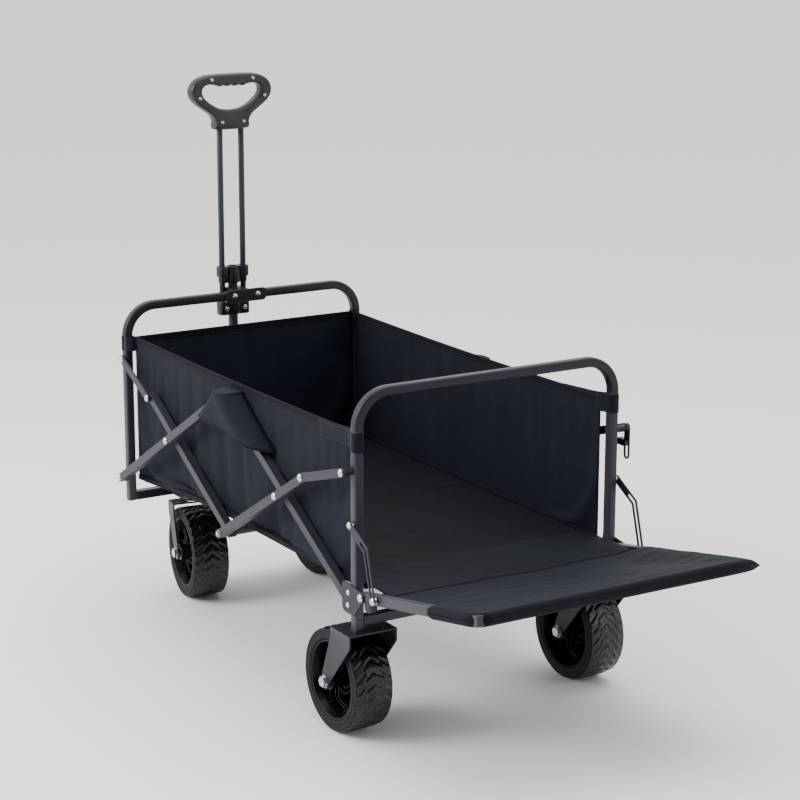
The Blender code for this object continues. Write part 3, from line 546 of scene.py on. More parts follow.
def front_point(u, v):
    """The front wall as it is sewn: u runs across the wagon, and v up from the lower edge."""
    y = (WALL_Y - 0.0008) * (2 * u - 1)
    return at(FRONT_CLOTH_X, y, HEM_FRONT + 0.018 + (WALL_TOP - HEM_FRONT - 0.018) * v)


# the front wall takes the lighter copy of the oxford, painted light on its shaded inner face
front_wall = cloth_grid("front_wall", front_point, *FRONT_STEPS, cross_cloth_painted_light)
nu, nv = FRONT_STEPS
held = [1.0 if j in (0, nv) or i in (0, nu) else 0.0 for j in range(nv + 1) for i in range(nu + 1)]
drape(front_wall, held, 0.012, (-1, 0, 0), 0.0008, 0.009)
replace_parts(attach(front_wall, "front_frame"), "front_panel")
front_top = [at(FRONT_CLOTH_X, (WALL_Y - 0.001) * (i / 12 - 1), WALL_TOP - 0.0035) for i in range(25)]
front_binding = ribbon("top_binding_front", front_top, *TOP_BINDING, UP, binding_tape)
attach(front_binding, "front_frame")
front_seam = stitch_row("top_stitching_front",
                        [p + Vector((0.0018, 0, -0.0035)) for p in front_top], (1, 0, 0))
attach(front_seam, "front_frame")


def post_wrap(name, x, sign, low, high, tail, body, rise=0.0):
    """A strap that goes round a post and back along the wall. The tail is the part on the wall."""
    gap, corner = 0.0016, 0.0040
    half = TUBE / 2 + gap
    y = POST_OUT - TUBE / 2
    # along the wall's outer face, round the outside of the post, and just back on to the inner face
    toward = 1 if tail > x else -1
    wall_out = WALL_Y + 0.0030
    line = [(tail, wall_out), ((tail + x) / 2, wall_out), (x + toward * (half + 0.010), wall_out),
            (x + toward * (half - corner), y + half), (x - toward * (half - corner), y + half),
            (x - toward * half, y + half - corner), (x - toward * half, y - half + corner),
            (x - toward * (half - corner), y - half), (x + toward * (half - 0.003), y - half),
            (x + toward * (half + 0.008), WALL_Y - 0.0022), (x + toward * (half + 0.018), WALL_Y - 0.0022)]
    rows = []
    for z in (low, low + 0.0012, (low + high) / 2, high - 0.0012, high):
        rows.append([at(px, sign * py, z + rise * (1 - min(abs(px - x) / abs(tail - x), 1)))
                     for px, py in line])
    count = len(line)
    verts = [p for row in rows for p in row]
    faces = [(r * count + i, r * count + i + 1, (r + 1) * count + i + 1, (r + 1) * count + i)
             for r in range(len(rows) - 1) for i in range(count - 1)]
    made = object_from(name, verts, faces, upright_cloth, 180)
    thicken = made.modifiers.new("thickness", "SOLIDIFY")
    thicken.thickness, thicken.offset = DOUBLE_CLOTH, 0
    soft = made.modifiers.new("soft", "SUBSURF")
    soft.levels = soft.render_levels = 1
    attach(made, body)
    return made


for side, sign in SIDES.items():
    sleeve = post_wrap(f"post_sleeve_front_{side}", FRONT_X, sign, SLEEVE_LOW, SLEEVE_HIGH,
                       WALL_FRONT + 0.006, "front_frame")
    strap = post_wrap(f"post_strap_rear_{side}", REAR_X, sign, STRAP_LOW, STRAP_HIGH,
                      REAR_X - STRAP_REACH, "rear_frame", STRAP_RISE)
    box = []
    for edge, height in (("low", STRAP_LOW + 0.0036), ("high", STRAP_HIGH - 0.0036)):
        run = [at(REAR_X - STRAP_REACH + 0.003 + 0.0060 * i, sign * (WALL_Y + 0.0046), height + 0.0003 * i)
               for i in range(19)]
        box.append(stitch_row(f"strap_stitching_{side}_{edge}", run, (0, sign, 0)))
        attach(box[-1], "rear_frame")


# ---- Floor -----------------------------------------------------------------------------------
# The floor is four stiff boards sewn into a pocket of the same oxford, so that it creases between
# them when the wagon folds. It lies on two hinged U frames of black 12 mm tube.
MAT_LOW, MAT_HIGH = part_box("floor_mat")
MAT_TOP = MAT_HIGH.z
FLOOR_FRONT, FLOOR_REAR = MAT_LOW.x - MIDDLE.x, MAT_HIGH.x - MIDDLE.x
CREASES = tuple(FLOOR_FRONT + (FLOOR_REAR - FLOOR_FRONT) * share for share in (0.27, 0.52, 0.77))


def lumps(x, y, size, depth, seed):
    """Gentle, repeatable unevenness of cloth over a board."""
    return depth * noise.noise(Vector((x / size, y / size, seed)))


def board_surface(x, y, upper):
    """Height of the padded floor: full between creases, drawn in at each crease and at the sides."""
    pull = min(abs(x - c) for c in CREASES)
    depth = 1.0 if abs(x - CREASES[1]) == pull else 0.22
    crease = depth * (0.0021 * math.exp(-(pull / 0.0050) ** 2) + 0.0016 * math.exp(-(pull / 0.024) ** 2))
    edge = WALL_Y - 0.0030 - abs(y)
    side = 0.0032 * math.exp(-(max(edge, 0) / 0.010) ** 2)
    rise = 0.0 if upper else -0.0060
    wrinkle = lumps(x, y, 0.11, 0.0022, 3.1) + lumps(x * 2.2, y * 0.6, 0.06, 0.0013, 9.4)
    return MAT_TOP - 0.0002 + rise - (crease + side if upper else 0) + wrinkle


def shell(name, outline, upper, lower, nu, nv, material):
    """A closed, cushion-like skin. Outline gives a plan point for two shares, and upper and lower
    give its heights there."""
    count = nu + 1
    verts, faces = [], []
    for height in (upper, lower):
        for j in range(nv + 1):
            for i in range(nu + 1):
                x, y = outline(i / nu, j / nv)
                verts.append(at(x, y, height(x, y, i / nu, j / nv)))
    base = count * (nv + 1)
    for j in range(nv):
        for i in range(nu):
            a, b, c, d = j * count + i, j * count + i + 1, (j + 1) * count + i + 1, (j + 1) * count + i
            faces += [(a, b, c, d), (base + d, base + c, base + b, base + a)]
    rim = ([i for i in range(nu)] + [j * count + nu for j in range(nv)]
           + [nv * count + i for i in range(nu, 0, -1)] + [j * count for j in range(nv, 0, -1)])
    faces += [(rim[k], base + rim[k], base + rim[(k + 1) % len(rim)], rim[(k + 1) % len(rim)])
              for k in range(len(rim))]
    return object_from(name, verts, faces, material, 180)


def floor_plan(u, v):
    """The floor's plan, from front to rear and from left to right."""
    return FLOOR_FRONT + 0.001 + (FLOOR_REAR - FLOOR_FRONT - 0.002) * u, (WALL_Y - 0.0024) * (2 * v - 1)


# the floor cover takes the darkest copy of the oxford, painted shade inside the basket
floor_cover = shell("floor_cover", floor_plan, lambda x, y, u, v: board_surface(x, y, True),
                    lambda x, y, u, v: board_surface(x, y, False), 180, 60, floor_cloth_painted_shade)
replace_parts(fold_with_basket(floor_cover), "floor_mat")
for side, sign in SIDES.items():
    cove = [at(WALL_FRONT + (WALL_REAR - WALL_FRONT) * k / 59, sign * (WALL_Y - 0.0034), MAT_TOP - 0.0006)
            for k in range(60)]
    fold_with_basket(sweep(f"floor_seam_{side}", cove, rounded_box_section(0.0060, 0.0060, 0.0022, 2),
                           UP, binding_tape))
for part in ("floor_frame_rear", "floor_frame_front"):
    finish_node(part, black_coat, 0.0016)


# ---- Tailgate --------------------------------------------------------------------------------
# A U of charcoal steel tube hinged on brackets at the rear posts, under a sleeve of oxford with a
# board inside. Cloth covers the outer end of the arms and wraps round the end tube, and a strip
# of the same cloth joins it to the floor. Slotted flat stays stop it when it is let down.
TILT = math.radians(10.5)
HINGE_X, HINGE_Z = REAR_X + 0.0270, 0.2532
GATE_LENGTH, GATE_TUBE = 0.340, 0.0170
ARM_IN, ARM_OUT = 0.2425, 0.2575
COVER_FROM, COVER_END = 0.010, GATE_LENGTH + 0.0045     # the cloth's two ends, out from the hinge
COVER_START = 0.205                     # where the cloth begins to wrap over the arms
GATE_STEPS, JOIN_STEPS = (110, 90), (60, 18)
BUMPER = 0.4786, 0.2440                 # the rubber bumper's place, along and up
# each head on a bracket or a stay: its place along and up, its face, body, radius, height and sink
GATE_HEADS = (
    ("rivet_bracket_high", 0.4227, 0.2522, BRACKET_FACE, "rear_frame", 0.0048, 0.0024, 0.002),
    ("rivet_bracket_low", 0.4219, 0.2310, BRACKET_FACE, "rear_frame", 0.0048, 0.0024, 0.002),
    ("bolt_tailgate_hinge", HINGE_X, HINGE_Z, BRACKET_FACE, "rear_frame", 0.0072, 0.0030, 0.002),
    ("bolt_stay_low", 0.5056, 0.2611, STAY_FACE, "tailgate", 0.0066, 0.0030, 0.006),
    ("rivet_stay_top", REAR_X, 0.368, STAY_FACE, "rear_frame", 0.0060, 0.0028, 0.006),
)


def on_gate(along, y, height):
    """A point on the tailgate: out from its hinge, across, and above the plane of its tubes."""
    return at(HINGE_X + along * math.cos(TILT) - height * math.sin(TILT), y,
              HINGE_Z + along * math.sin(TILT) + height * math.cos(TILT))


def gate_half_width(along, sign):
    """Inside the arms near the hinge, widening to go round them, with a soft outer corner."""
    inner, outer = (ARM_IN - 0.0030 if sign < 0 else ARM_OUT + 0.0006), ARM_OUT + 0.0070
    share = min(max((along - COVER_START + 0.035) / 0.045, 0), 1)
    width = inner + (outer - inner) * share * share * (3 - 2 * share)
    corner = 0.034 if sign < 0 else 0.006
    past = along - (COVER_END - corner)
    if past > 0:
        width -= corner - math.sqrt(max(corner ** 2 - past ** 2, 0))
    return width


def gate_height(along, y, upper):
    """The cloth is up on the tubes, and sinks to the board between them."""
    sign = -1 if y < 0 else 1
    to_end = COVER_END - along
    to_side = gate_half_width(along, sign) - abs(y)
    wraps = min(max((along - (COVER_START if sign < 0 else 0.075) + 0.035) / 0.045, 0), 1)
    tube = GATE_TUBE / 2 + 0.0024
    over_end = tube * (1 / (1 + (max(to_end - 0.014, 0) / 0.085) ** 2))
    over_side = tube * wraps * (1 / (1 + (max(to_side - 0.020, 0) / 0.050) ** 2))
    height = max(over_end, over_side, 0.0036)
    rim = 0.0095 if max(over_end, over_side) > 0.006 else 0.004
    near = min(max(to_end, 0), max(to_side, 0), max(along - COVER_FROM, 0))
    if near < rim:
        height *= math.sqrt(max(1 - (1 - near / rim) ** 2, 0))
    ease = min(near / 0.03, 1)
    wave = lumps(along, y, 0.085, 0.0030, 7.7) + lumps(along * 2.2, y * 0.7, 0.05, 0.0016, 1.3)
    sag = -0.0035 * math.sin(math.pi * min(along / GATE_LENGTH, 1)) * (1 - (y / ARM_OUT) ** 2)
    return (height if upper else -height) + ease * (wave + sag) * (1 if upper else 0.5)


def spread(share):
    """Puts more points near both edges, where the cloth turns over."""
    return 0.5 - 0.5 * math.cos(math.pi * share)


nu, nv = GATE_STEPS
gate_verts, gate_faces = [], []
for upper in (True, False):
    for j in range(nv + 1):
        v = 2 * spread(j / nv) - 1
        for i in range(nu + 1):
            along = COVER_FROM + (COVER_END - COVER_FROM) * spread(i / nu)
            y = v * gate_half_width(along, -1 if v < 0 else 1)
            lifted = gate_height(along, y * 0.99999, upper)
            # the sewn corner on the right is drawn out to a point
            tip = max(v, 0) ** 16 * (i / nu) ** 14
            gate_verts.append(on_gate(along + 0.0110 * tip, y + 0.0080 * tip, lifted * (1 - 0.7 * tip)))
base = (nu + 1) * (nv + 1)
for j in range(nv):
    for i in range(nu):
        a, b = j * (nu + 1) + i, j * (nu + 1) + i + 1
        c, d = b + nu + 1, a + nu + 1
        gate_faces += [(a, b, c, d), (base + d, base + c, base + b, base + a)]
# the tailgate cover takes the darker copy of the oxford, painted shade on its upward face
gate_cover = object_from("tailgate_cover", gate_verts, gate_faces, flat_cloth_painted_shade, 180)
close = gate_cover.modifiers.new("sewn_edge", "WELD")
close.merge_threshold = 0.00012
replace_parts(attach(gate_cover, "tailgate"), "tailgate_panel")
finish_node("tailgate_frame", charcoal_coat, 0.0016)

# the strip that joins floor and tailgate, in one piece across the hinge
JOIN_START, JOIN_END = REAR_X - 0.060, 0.058


def join_point(u, v):
    """The strip as it lies: u runs across the wagon, and v from the floor to the tailgate."""
    y = (ARM_IN - 0.006) * (2 * u - 1)
    start = at(JOIN_START, y, board_surface(JOIN_START, y, True) - 0.0009)
    end = on_gate(JOIN_END, y, gate_height(JOIN_END, y, True) - 0.0009)
    knee = at(REAR_X + 0.008, y, MAT_TOP + 0.0014)
    curve = start * (1 - v) ** 2 + knee * 2 * v * (1 - v) + end * v ** 2
    lift = (0.0018 + lumps(y, v, 0.07, 0.0014, 5.5)) * max(math.sin(math.pi * v), 0) ** 0.7
    return curve + Vector((0, 0, lift))


join_strip = cloth_grid("tailgate_join_strip", join_point, *JOIN_STEPS, flat_cloth_painted_shade, DOUBLE_CLOTH)
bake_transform(join_strip)
for where, v, body in (("floor", 0.04, "rear_frame"), ("tailgate", 0.96, "tailgate")):
    run = [join_point(0.02 + 0.96 * k / 40, v) + Vector((0, 0, 0.0014)) for k in range(41)]
    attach(stitch_row(f"join_stitching_{where}", run, UP), body)
seam_along = GATE_LENGTH - 0.030
end_run = []
for k in range(41):
    y = (ARM_IN - 0.02) * (k / 20 - 1)
    end_run.append(on_gate(seam_along, y, gate_height(seam_along, y, True) + 0.0003))
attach(stitch_row("tailgate_end_stitching", end_run, UP), "tailgate")

# the same dull black rubber also stands in for painted shade in the screws' cross recesses
black_rubber_and_recess_shade, tree, shader = start_material("black_rubber_moulded_dull_and_recess_shade", "#0B0B0D", 0.62, 1.52)
grain = node(tree, "ShaderNodeTexNoise", {"Scale": 1400.0, "Detail": 2.0},
             Vector=node(tree, "ShaderNodeTexCoord").outputs["Object"])
tree.links.new(node(tree, "ShaderNodeBump", {"Strength": 0.25, "Distance": 0.0002},
                    Height=grain.outputs[0]).outputs["Normal"], shader.inputs["Normal"])
for side, sign in SIDES.items():
    finish_node(f"tailgate_bracket_{side}", charcoal_coat, 0.0006)
    finish_node(f"tailgate_stay_{side}", charcoal_coat, 0.0006)
    for head, x, z, face, body, radius, height, sink in GATE_HEADS:
        rivet(f"{head}_{side}", x, sign * face, z, body, radius, height, sink=sink)
    rivet(f"rubber_bumper_{side}", BUMPER[0], sign * (POST_OUT - 0.002), BUMPER[1], "rear_frame",
          0.0115, 0.0024, black_rubber_and_recess_shade, 0.010)
    cap = turned(f"rail_end_plug_{side}", [(0.0001, sign * 0.0012), (0.0024, sign * 0.0010),
                                           (0.0024, -sign * 0.001), (0.0001, -sign * 0.001)],
                 black_rubber_and_recess_shade, 18)
    cap.location = on_gate(COVER_START - 0.004, sign * (ARM_OUT + 0.0001), 0.0035)
    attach(cap, "tailgate")
finish_node("fold_lock_hook", black_coat, 0.0008)


# ---- Wheels ----------------------------------------------------------------------------------
# Wide 7 inch wheels. The tyre is EVA rubber moulded with arrowhead lugs, dull on its sides and
# shiny on its lugs. The rim is black polypropylene: a deep dish with thin curved ribs and a long hub.
WHEEL_RADIUS = 0.0884
RIM_RADIUS, HUB_RADIUS, HUB_HALF = 0.0670, 0.0150, 0.0385
LUGS, LUG_DEPTH = 29, 0.0024
TREAD_HALF = 0.0310
RIBS = 6
RIB_FROM, RIB_TO = 0.0146, RIM_RADIUS - 0.0040
RIB_STEPS, RIB_HALF = 22, 0.0011
AXLE_FACE = 0.0450                  # outer face of the fork arms, from the middle of the wheel
CASTER_YAW = {"left": math.radians(-8.5), "right": math.radians(5.0)}
CASTER_TRAIL = 0.030                # from a caster's swivel axis back to its axle


def moulded(name, colour, light, roughness, speck, gleam=0.35):
    """Moulded polymer: even colour with slight flow marks, and the fine grain of the mould's face."""
    made, tree, shader = start_material(name, colour, roughness, 1.49, specular=gleam)
    place = node(tree, "ShaderNodeTexCoord").outputs["Object"]
    flow = node(tree, "ShaderNodeTexNoise", {"Scale": 30.0, "Detail": 5.0}, Vector=place)
    tree.links.new(ramp(tree, flow.outputs[0], 0.3, 0.75, colour, light), shader.inputs["Base Color"])
    gloss = node(tree, "ShaderNodeMapRange", {"To_Min": roughness - 0.07, "To_Max": roughness + 0.09},
                 Value=flow.outputs[0])
    tree.links.new(gloss.outputs["Result"], shader.inputs["Roughness"])
    # spark-eroded mould grain is about 0.1 mm; it is drawn at 0.9 mm so that it shows
    skin = node(tree, "ShaderNodeTexNoise", {"Scale": 1 / 0.0009, "Detail": 2.0}, Vector=place)
    bump = node(tree, "ShaderNodeBump", {"Strength": speck, "Distance": 0.0003}, Height=skin.outputs[0])
    tree.links.new(bump.outputs["Normal"], shader.inputs["Normal"])
    return made


sidewall_rubber = moulded("eva_rubber_moulded_dull", "#111318", "#191C22", 0.66, 0.35, 0.16)
lug_rubber = moulded("eva_rubber_moulded_shiny", "#090A0D", "#101217", 0.30, 0.12, 0.5)
rim_plastic = moulded("polypropylene_moulded_satin", "#050608", "#090A0D", 0.34, 0.10, 0.22)


def lug_height(turn, across):
    """1 on a lug and 0 in a groove. Two rows of slanting lugs on each half make arrowheads."""
    inward = abs(across) / TREAD_HALF
    row = np.where(inward > 0.52, 1.0, 0.0)
    phase = turn * LUGS / (2 * math.pi) + inward * 1.30 + row * 0.46 + np.where(across > 0, 0.0, 0.08)
    wave = np.abs((phase % 1.0) - 0.5) * 2
    wiggle = 0.10 * np.sin(phase * 2 * math.pi * 2 + inward * 9)
    lug = np.clip((0.66 + wiggle - wave) / 0.16, 0, 1)
    gap = np.clip(np.abs(inward - 0.52) / 0.035 - 0.35, 0, 1)
    centre = np.clip(inward / 0.05 - 0.2, 0, 1)
    sipe = 1 - 0.55 * np.clip(1 - np.abs(wave - 0.12) / 0.07, 0, 1)
    return lug * (0.35 + 0.65 * gap) * (0.5 + 0.5 * centre) * sipe


def tyre_mesh(around=330, over=42):
    """The tyre about the Y axis: bead, stepped sidewall, round shoulder, then the lugged tread."""
    side_profile = [(RIM_RADIUS + 0.0004, 0.0322), (RIM_RADIUS + 0.0012, 0.0338),
                    (RIM_RADIUS + 0.0040, 0.0345), (0.0730, 0.0349), (0.0742, 0.0342), (0.0800, 0.0342),
                    (0.0812, 0.0348), (0.0838, 0.0344), (0.0856, 0.0334)]
    turn = np.arange(around) * 2 * math.pi / around
    rings, tread_from = [], len(side_profile)
    for r, y in side_profile:
        rings.append(np.stack([r * np.cos(turn), np.full(around, y), r * np.sin(turn)], 1))
    for k in range(over + 1):
        across = TREAD_HALF * (1 - 2 * k / over)
        crown = WHEEL_RADIUS - 0.0004 - 0.0014 * (across / TREAD_HALF) ** 4
        raised = lug_height(turn, np.full(around, across))
        r = crown - LUG_DEPTH * (1 - raised)
        rings.append(np.stack([r * np.cos(turn), np.full(around, across), r * np.sin(turn)], 1))
    for r, y in reversed(side_profile):
        rings.append(np.stack([r * np.cos(turn), np.full(around, -y), r * np.sin(turn)], 1))
    inner = RIM_RADIUS + 0.0003
    for y in (-0.030, 0.030):
        rings.append(np.stack([inner * np.cos(turn), np.full(around, y), inner * np.sin(turn)], 1))
    count = len(rings)
    faces = []
    for i in range(count):
        a, b = i * around, (i + 1) % count * around
        faces += [(a + k, a + (k + 1) % around, b + (k + 1) % around, b + k) for k in range(around)]
    made = object_from("tyre_pattern", np.concatenate(rings), faces, sidewall_rubber, 180)
    made.data.materials.append(lug_rubber)
    first, last = (tread_from - 1) * around, (tread_from + over + 1) * around
    made.data.polygons.foreach_set("material_index",
                                   [1 if first <= f < last else 0 for f in range(len(faces))])
    return made


def rib_mesh():
    """S-curved ribs in pairs, standing on both faces of the rim's disc."""
    verts, faces = [], []
    root, crest = RIB_HALF, RIB_HALF * 0.7
    for face, rib, pair in ((f, n, p) for f in (1, -1) for n in range(RIBS) for p in (-1, 1)):
        base = len(verts)
        for k in range(RIB_STEPS + 1):
            t = k / RIB_STEPS
            r = RIB_FROM + (RIB_TO - RIB_FROM) * t
            swing = 0.30 * math.sin(2 * math.pi * t) + 0.32 * t
            apart = pair * (0.0050 + 0.0012 * math.cos(math.pi * t)) / r
            a = 2 * math.pi * rib / RIBS + face * swing + apart
            tall = 0.0255 - 0.0055 * t
            for off, y in ((-root, 0.0020), (root, 0.0020), (crest, tall), (-crest, tall)):
                angle = a + off / r
                verts.append((r * math.cos(angle), face * y, r * math.sin(angle)))
        for k in range(RIB_STEPS):
            for e in range(4):
                p, q = base + 4 * k + e, base + 4 * k + (e + 1) % 4
                faces.append((p, q, q + 4, p + 4))
        faces += [(base, base + 1, base + 2, base + 3), tuple(base + 4 * RIB_STEPS + e for e in range(4))]
    return object_from("rib_pattern", verts, faces, rim_plastic, 30)


def join_pieces(name, pieces):
    """Moulded or welded together: one object from several skins."""
    whole = pieces[0]
    with bpy.context.temp_override(active_object=whole, object=whole, selected_objects=pieces,
                                   selected_editable_objects=pieces):
        bpy.ops.object.join()
    whole.name = name
    return whole


RIM_PROFILE = [(RIM_RADIUS, -0.0322), (RIM_RADIUS, 0.0322), (RIM_RADIUS - 0.0008, 0.0330),
               (RIM_RADIUS - 0.0024, 0.0330), (RIM_RADIUS - 0.0032, 0.0320), (RIM_RADIUS - 0.0038, 0.0120),
               (RIM_RADIUS - 0.0080, 0.0040), (0.0240, 0.0024), (0.0190, 0.0040), (0.0165, 0.0080),
               (HUB_RADIUS, HUB_HALF - 0.001), (HUB_RADIUS - 0.001, HUB_HALF), (0.0056, HUB_HALF),
               (0.0056, -HUB_HALF), (HUB_RADIUS - 0.001, -HUB_HALF), (HUB_RADIUS, -HUB_HALF + 0.001),
               (0.0165, -0.0080), (0.0190, -0.0040), (0.0240, -0.0024), (RIM_RADIUS - 0.0080, -0.0040),
               (RIM_RADIUS - 0.0038, -0.0120), (RIM_RADIUS - 0.0032, -0.0320), (RIM_RADIUS - 0.0024, -0.0330),
               (RIM_RADIUS - 0.0008, -0.0330)]
tyre_pattern = tyre_mesh()
rim_body = turned("rim_pattern", RIM_PROFILE, rim_plastic, 96, closed=True, smooth=40)
rim_pattern = join_pieces("rim_pattern", [rim_body, rib_mesh()])


def hexagon(name, inner, outer, radius, material):
    """A bolt head or nut, chamfered on its outer face."""
    sign = 1 if outer > inner else -1
    rings = []
    for r, y in ((radius, inner), (radius, outer - sign * 0.0010), (radius * 0.86, outer)):
        rings.append([(r * math.cos(math.radians(60 * k)), y, r * math.sin(math.radians(60 * k)))
                      for k in range(6)])
    return loft(name, rings, material, smooth=20)


for side, sign in SIDES.items():
    for end in ("front", "rear"):
        middle = centre_of(f"{end}_tyre_{side}")
        yaw = CASTER_YAW[side] if end == "front" else 0.0
        stand = Matrix.Translation(middle) @ Matrix.Rotation(yaw, 4, "Z")
        body = f"{end}_wheel_{side}"
        for pattern, piece, node_name in ((tyre_pattern, "lugged_tyre", f"{end}_tyre_{side}"),
                                          (rim_pattern, "ribbed_rim", f"{end}_rim_{side}")):
            made = bpy.data.objects.new(f"{piece}_{end}_{side}", pattern.data)
            bpy.context.scene.collection.objects.link(made)
            made.matrix_world = stand
            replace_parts(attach(made, body), node_name)
        holder = "rear_frame" if end == "rear" else f"caster_{side}"
        washers = [turned(f"washer_{end}_{side}_{w}", [(0.0060, w * AXLE_FACE), (0.0105, w * AXLE_FACE),
                                                      (0.0105, w * (AXLE_FACE + 0.0013)),
                                                      (0.0060, w * (AXLE_FACE + 0.0013))], zinc, 30)
                   for w in (-1, 1)]
        head = hexagon(f"bolt_{end}_{side}", sign * AXLE_FACE, sign * (AXLE_FACE + 0.0068), 0.0096, zinc)
        nut = hexagon(f"nut_{end}_{side}", -sign * AXLE_FACE, -sign * (AXLE_FACE + 0.0068), 0.0096, zinc)
        hardware = join_pieces(f"axle_hardware_{end}_{side}", [head, nut, *washers])
        hardware.matrix_world = stand
        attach(hardware, holder)
        finish_node(f"{end}_axle_{side}", zinc, 0)
for spare in (tyre_pattern, rim_pattern):
    bpy.data.objects.remove(spare)


# ---- Forks and casters -----------------------------------------------------------------------
# Forks pressed from 3 mm steel plate, powder coated. The rear ones are welded under the posts, and
# the front ones turn on a ball race in a zinc-plated cup under the front crossbar.
for side, sign in SIDES.items():
    finish_node(f"rear_fork_{side}", charcoal_coat, 0.0009)
    finish_node(f"caster_fork_{side}", charcoal_coat, 0.0009)
    axle = centre_of(f"front_axle_{side}")
    yaw = CASTER_YAW[side]
    swivel = axle - Vector((math.cos(yaw), math.sin(yaw), 0)) * CASTER_TRAIL
    race_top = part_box(f"caster_fork_{side}")[1].z
    cup = [(0.0186, race_top - 0.0036), (0.0200, race_top - 0.0030), (0.0200, race_top - 0.0012),
           (0.0186, race_top - 0.0004)]
    rings = [[(swivel.x + r * math.cos(a), swivel.y + r * math.sin(a), z)
              for a in (2 * math.pi * k / 40 for k in range(40))] for r, z in cup]
    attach(loft(f"caster_race_{side}", rings, zinc, caps=False), f"caster_{side}")
    # fillet welds where a rear post stands on its fork
    weld_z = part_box(f"rear_fork_{side}")[1].z
    bead = []
    for k in range(60):
        a = 2 * math.pi * k / 60
        reach = TUBE / 2 + 0.0006
        px = reach * max(-1, min(1, 1.35 * math.cos(a)))
        py = reach * max(-1, min(1, 1.35 * math.sin(a)))
        rise = 0.0006 + 0.0003 * math.sin(9 * a)
        bead.append(at(REAR_X + px, sign * (POST_OUT - TUBE / 2) + py, weld_z + rise))
    bead.append(bead[0])
    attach(sweep(f"post_weld_{side}", bead, rounded_box_section(0.0026, 0.0026, 0.0012, 2), UP,
                  charcoal_coat), "rear_frame")


# ---- Pull handle -----------------------------------------------------------------------------
# A steel tube hinged at its foot, and two rods that slide beside it in moulded blocks. The grip is
# two screwed shells of satin black ABS, with finger grooves under the upper bar.
POLE = centre_of("pole_tube")
POLE_AXIS_X, POLE_AXIS_Y = POLE.x, POLE.y
ROD_HALF, ROD_RADIUS, POLE_RADIUS = 0.0230, 0.0058, 0.0095
GRIP_X = (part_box("grip_shell_front")[0].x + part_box("grip_shell_rear")[1].x) / 2
GRIP_HALF_DEPTH = 0.0140
abs_plastic = moulded("abs_moulded_satin", "#1B1C20", "#24262B", 0.38, 0.22)
block_plastic = moulded("nylon_moulded_satin", "#0B0C0E", "#121316", 0.42, 0.18)
rod_coat = powder_coat("rod_powder_coat_satin", "#101216", "#171A1F")


def round_tube(name, x, y, low, high, radius, material, body, node_name):
    """A drawn round tube standing up, with its mouth rolled in."""
    profile = [(radius * 0.92, low), (radius, low + 0.0006), (radius, high - 0.0006), (radius * 0.92, high)]
    rings = [[(x + r * math.cos(2 * math.pi * k / 40), y + r * math.sin(2 * math.pi * k / 40), z)
              for k in range(40)] for r, z in profile]
    made = loft(name, rings, material, smooth=40)
    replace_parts(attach(made, body), node_name)
    return made


for side, sign in SIDES.items():
    low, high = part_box(f"handle_rod_{side}")
    round_tube(f"slide_rod_{side}", POLE_AXIS_X, POLE_AXIS_Y + sign * ROD_HALF, low.z, high.z, ROD_RADIUS,
               rod_coat, "handle", f"handle_rod_{side}")
low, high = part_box("pole_tube")
round_tube("fixed_pole", POLE_AXIS_X, POLE_AXIS_Y, low.z, high.z, POLE_RADIUS, rod_coat, "pole", "pole_tube")


def smooth_loop(points, per=6):
    """A closed curve through points, by Catmull-Rom."""
    made, n = [], len(points)
    for i in range(n):
        p0, p1, p2, p3 = (np.array(points[(i + k) % n], float) for k in (-1, 0, 1, 2))
        for k in range(per):
            t = k / per
            made.append(0.5 * (2 * p1 + (p2 - p0) * t + (2 * p0 - 5 * p1 + 4 * p2 - p3) * t * t
                               + (3 * p1 - p0 - 3 * p2 + p3) * t ** 3))
    return np.array(made)


def evenly(loop, count):
    """The same closed curve as count points, evenly spaced along it."""
    closed = np.vstack([loop, loop[:1]])
    run = np.concatenate([[0], np.cumsum(np.linalg.norm(np.diff(closed, axis=0), axis=1))])
    at_run = np.arange(count) / count * run[-1]
    return np.stack([np.interp(at_run, run, closed[:, k]) for k in range(2)], 1)


GRIP_TOP_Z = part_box("grip_shell_front")[1].z
OUTER_HALF = [(0.0, 0.0), (0.034, -0.0002), (0.058, -0.0028), (0.077, -0.0120), (0.0865, -0.0270),
              (0.0850, -0.0430), (0.0740, -0.0570), (0.0570, -0.0690), (0.0435, -0.0790), (0.0372, -0.0890),
              (0.0352, -0.0990), (0.0350, -0.1065)]
INNER_HALF = [(0.0, -0.0225), (0.0080, -0.0250), (0.0160, -0.0225), (0.0240, -0.0250), (0.0330, -0.0215),
              (0.0500, -0.0200), (0.0600, -0.0255), (0.0620, -0.0350), (0.0560, -0.0460), (0.0420, -0.0570),
              (0.0230, -0.0660), (0.0, -0.0690)]
mirrored = [(-y, z) for y, z in reversed(OUTER_HALF[1:])]
outer = evenly(smooth_loop(OUTER_HALF + [(0.0, -0.1080)] + mirrored), 180)
inner = evenly(smooth_loop(INNER_HALF + [(-y, z) for y, z in reversed(INNER_HALF[1:-1])]), 180)
section = []
for k in range(29):
    share = 0.5 - 0.5 * math.cos(math.pi * k / 28)
    section.append((share, (1 - abs(2 * share - 1) ** 5) ** (1 / 2.4)))
grip_rings = []
for face in (1, -1):
    order = section if face > 0 else list(reversed(section))[1:-1]
    for share, depth in order:
        ring = outer * (1 - share) + inner * share
        x = GRIP_X + face * GRIP_HALF_DEPTH * depth
        grip_rings.append([(x, POLE_AXIS_Y + y, GRIP_TOP_Z + z) for y, z in ring])
grip = loft("grip_shells", grip_rings, abs_plastic, closed=True, smooth=60)
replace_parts(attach(grip, "handle"), "grip_shell_front", "grip_shell_rear")


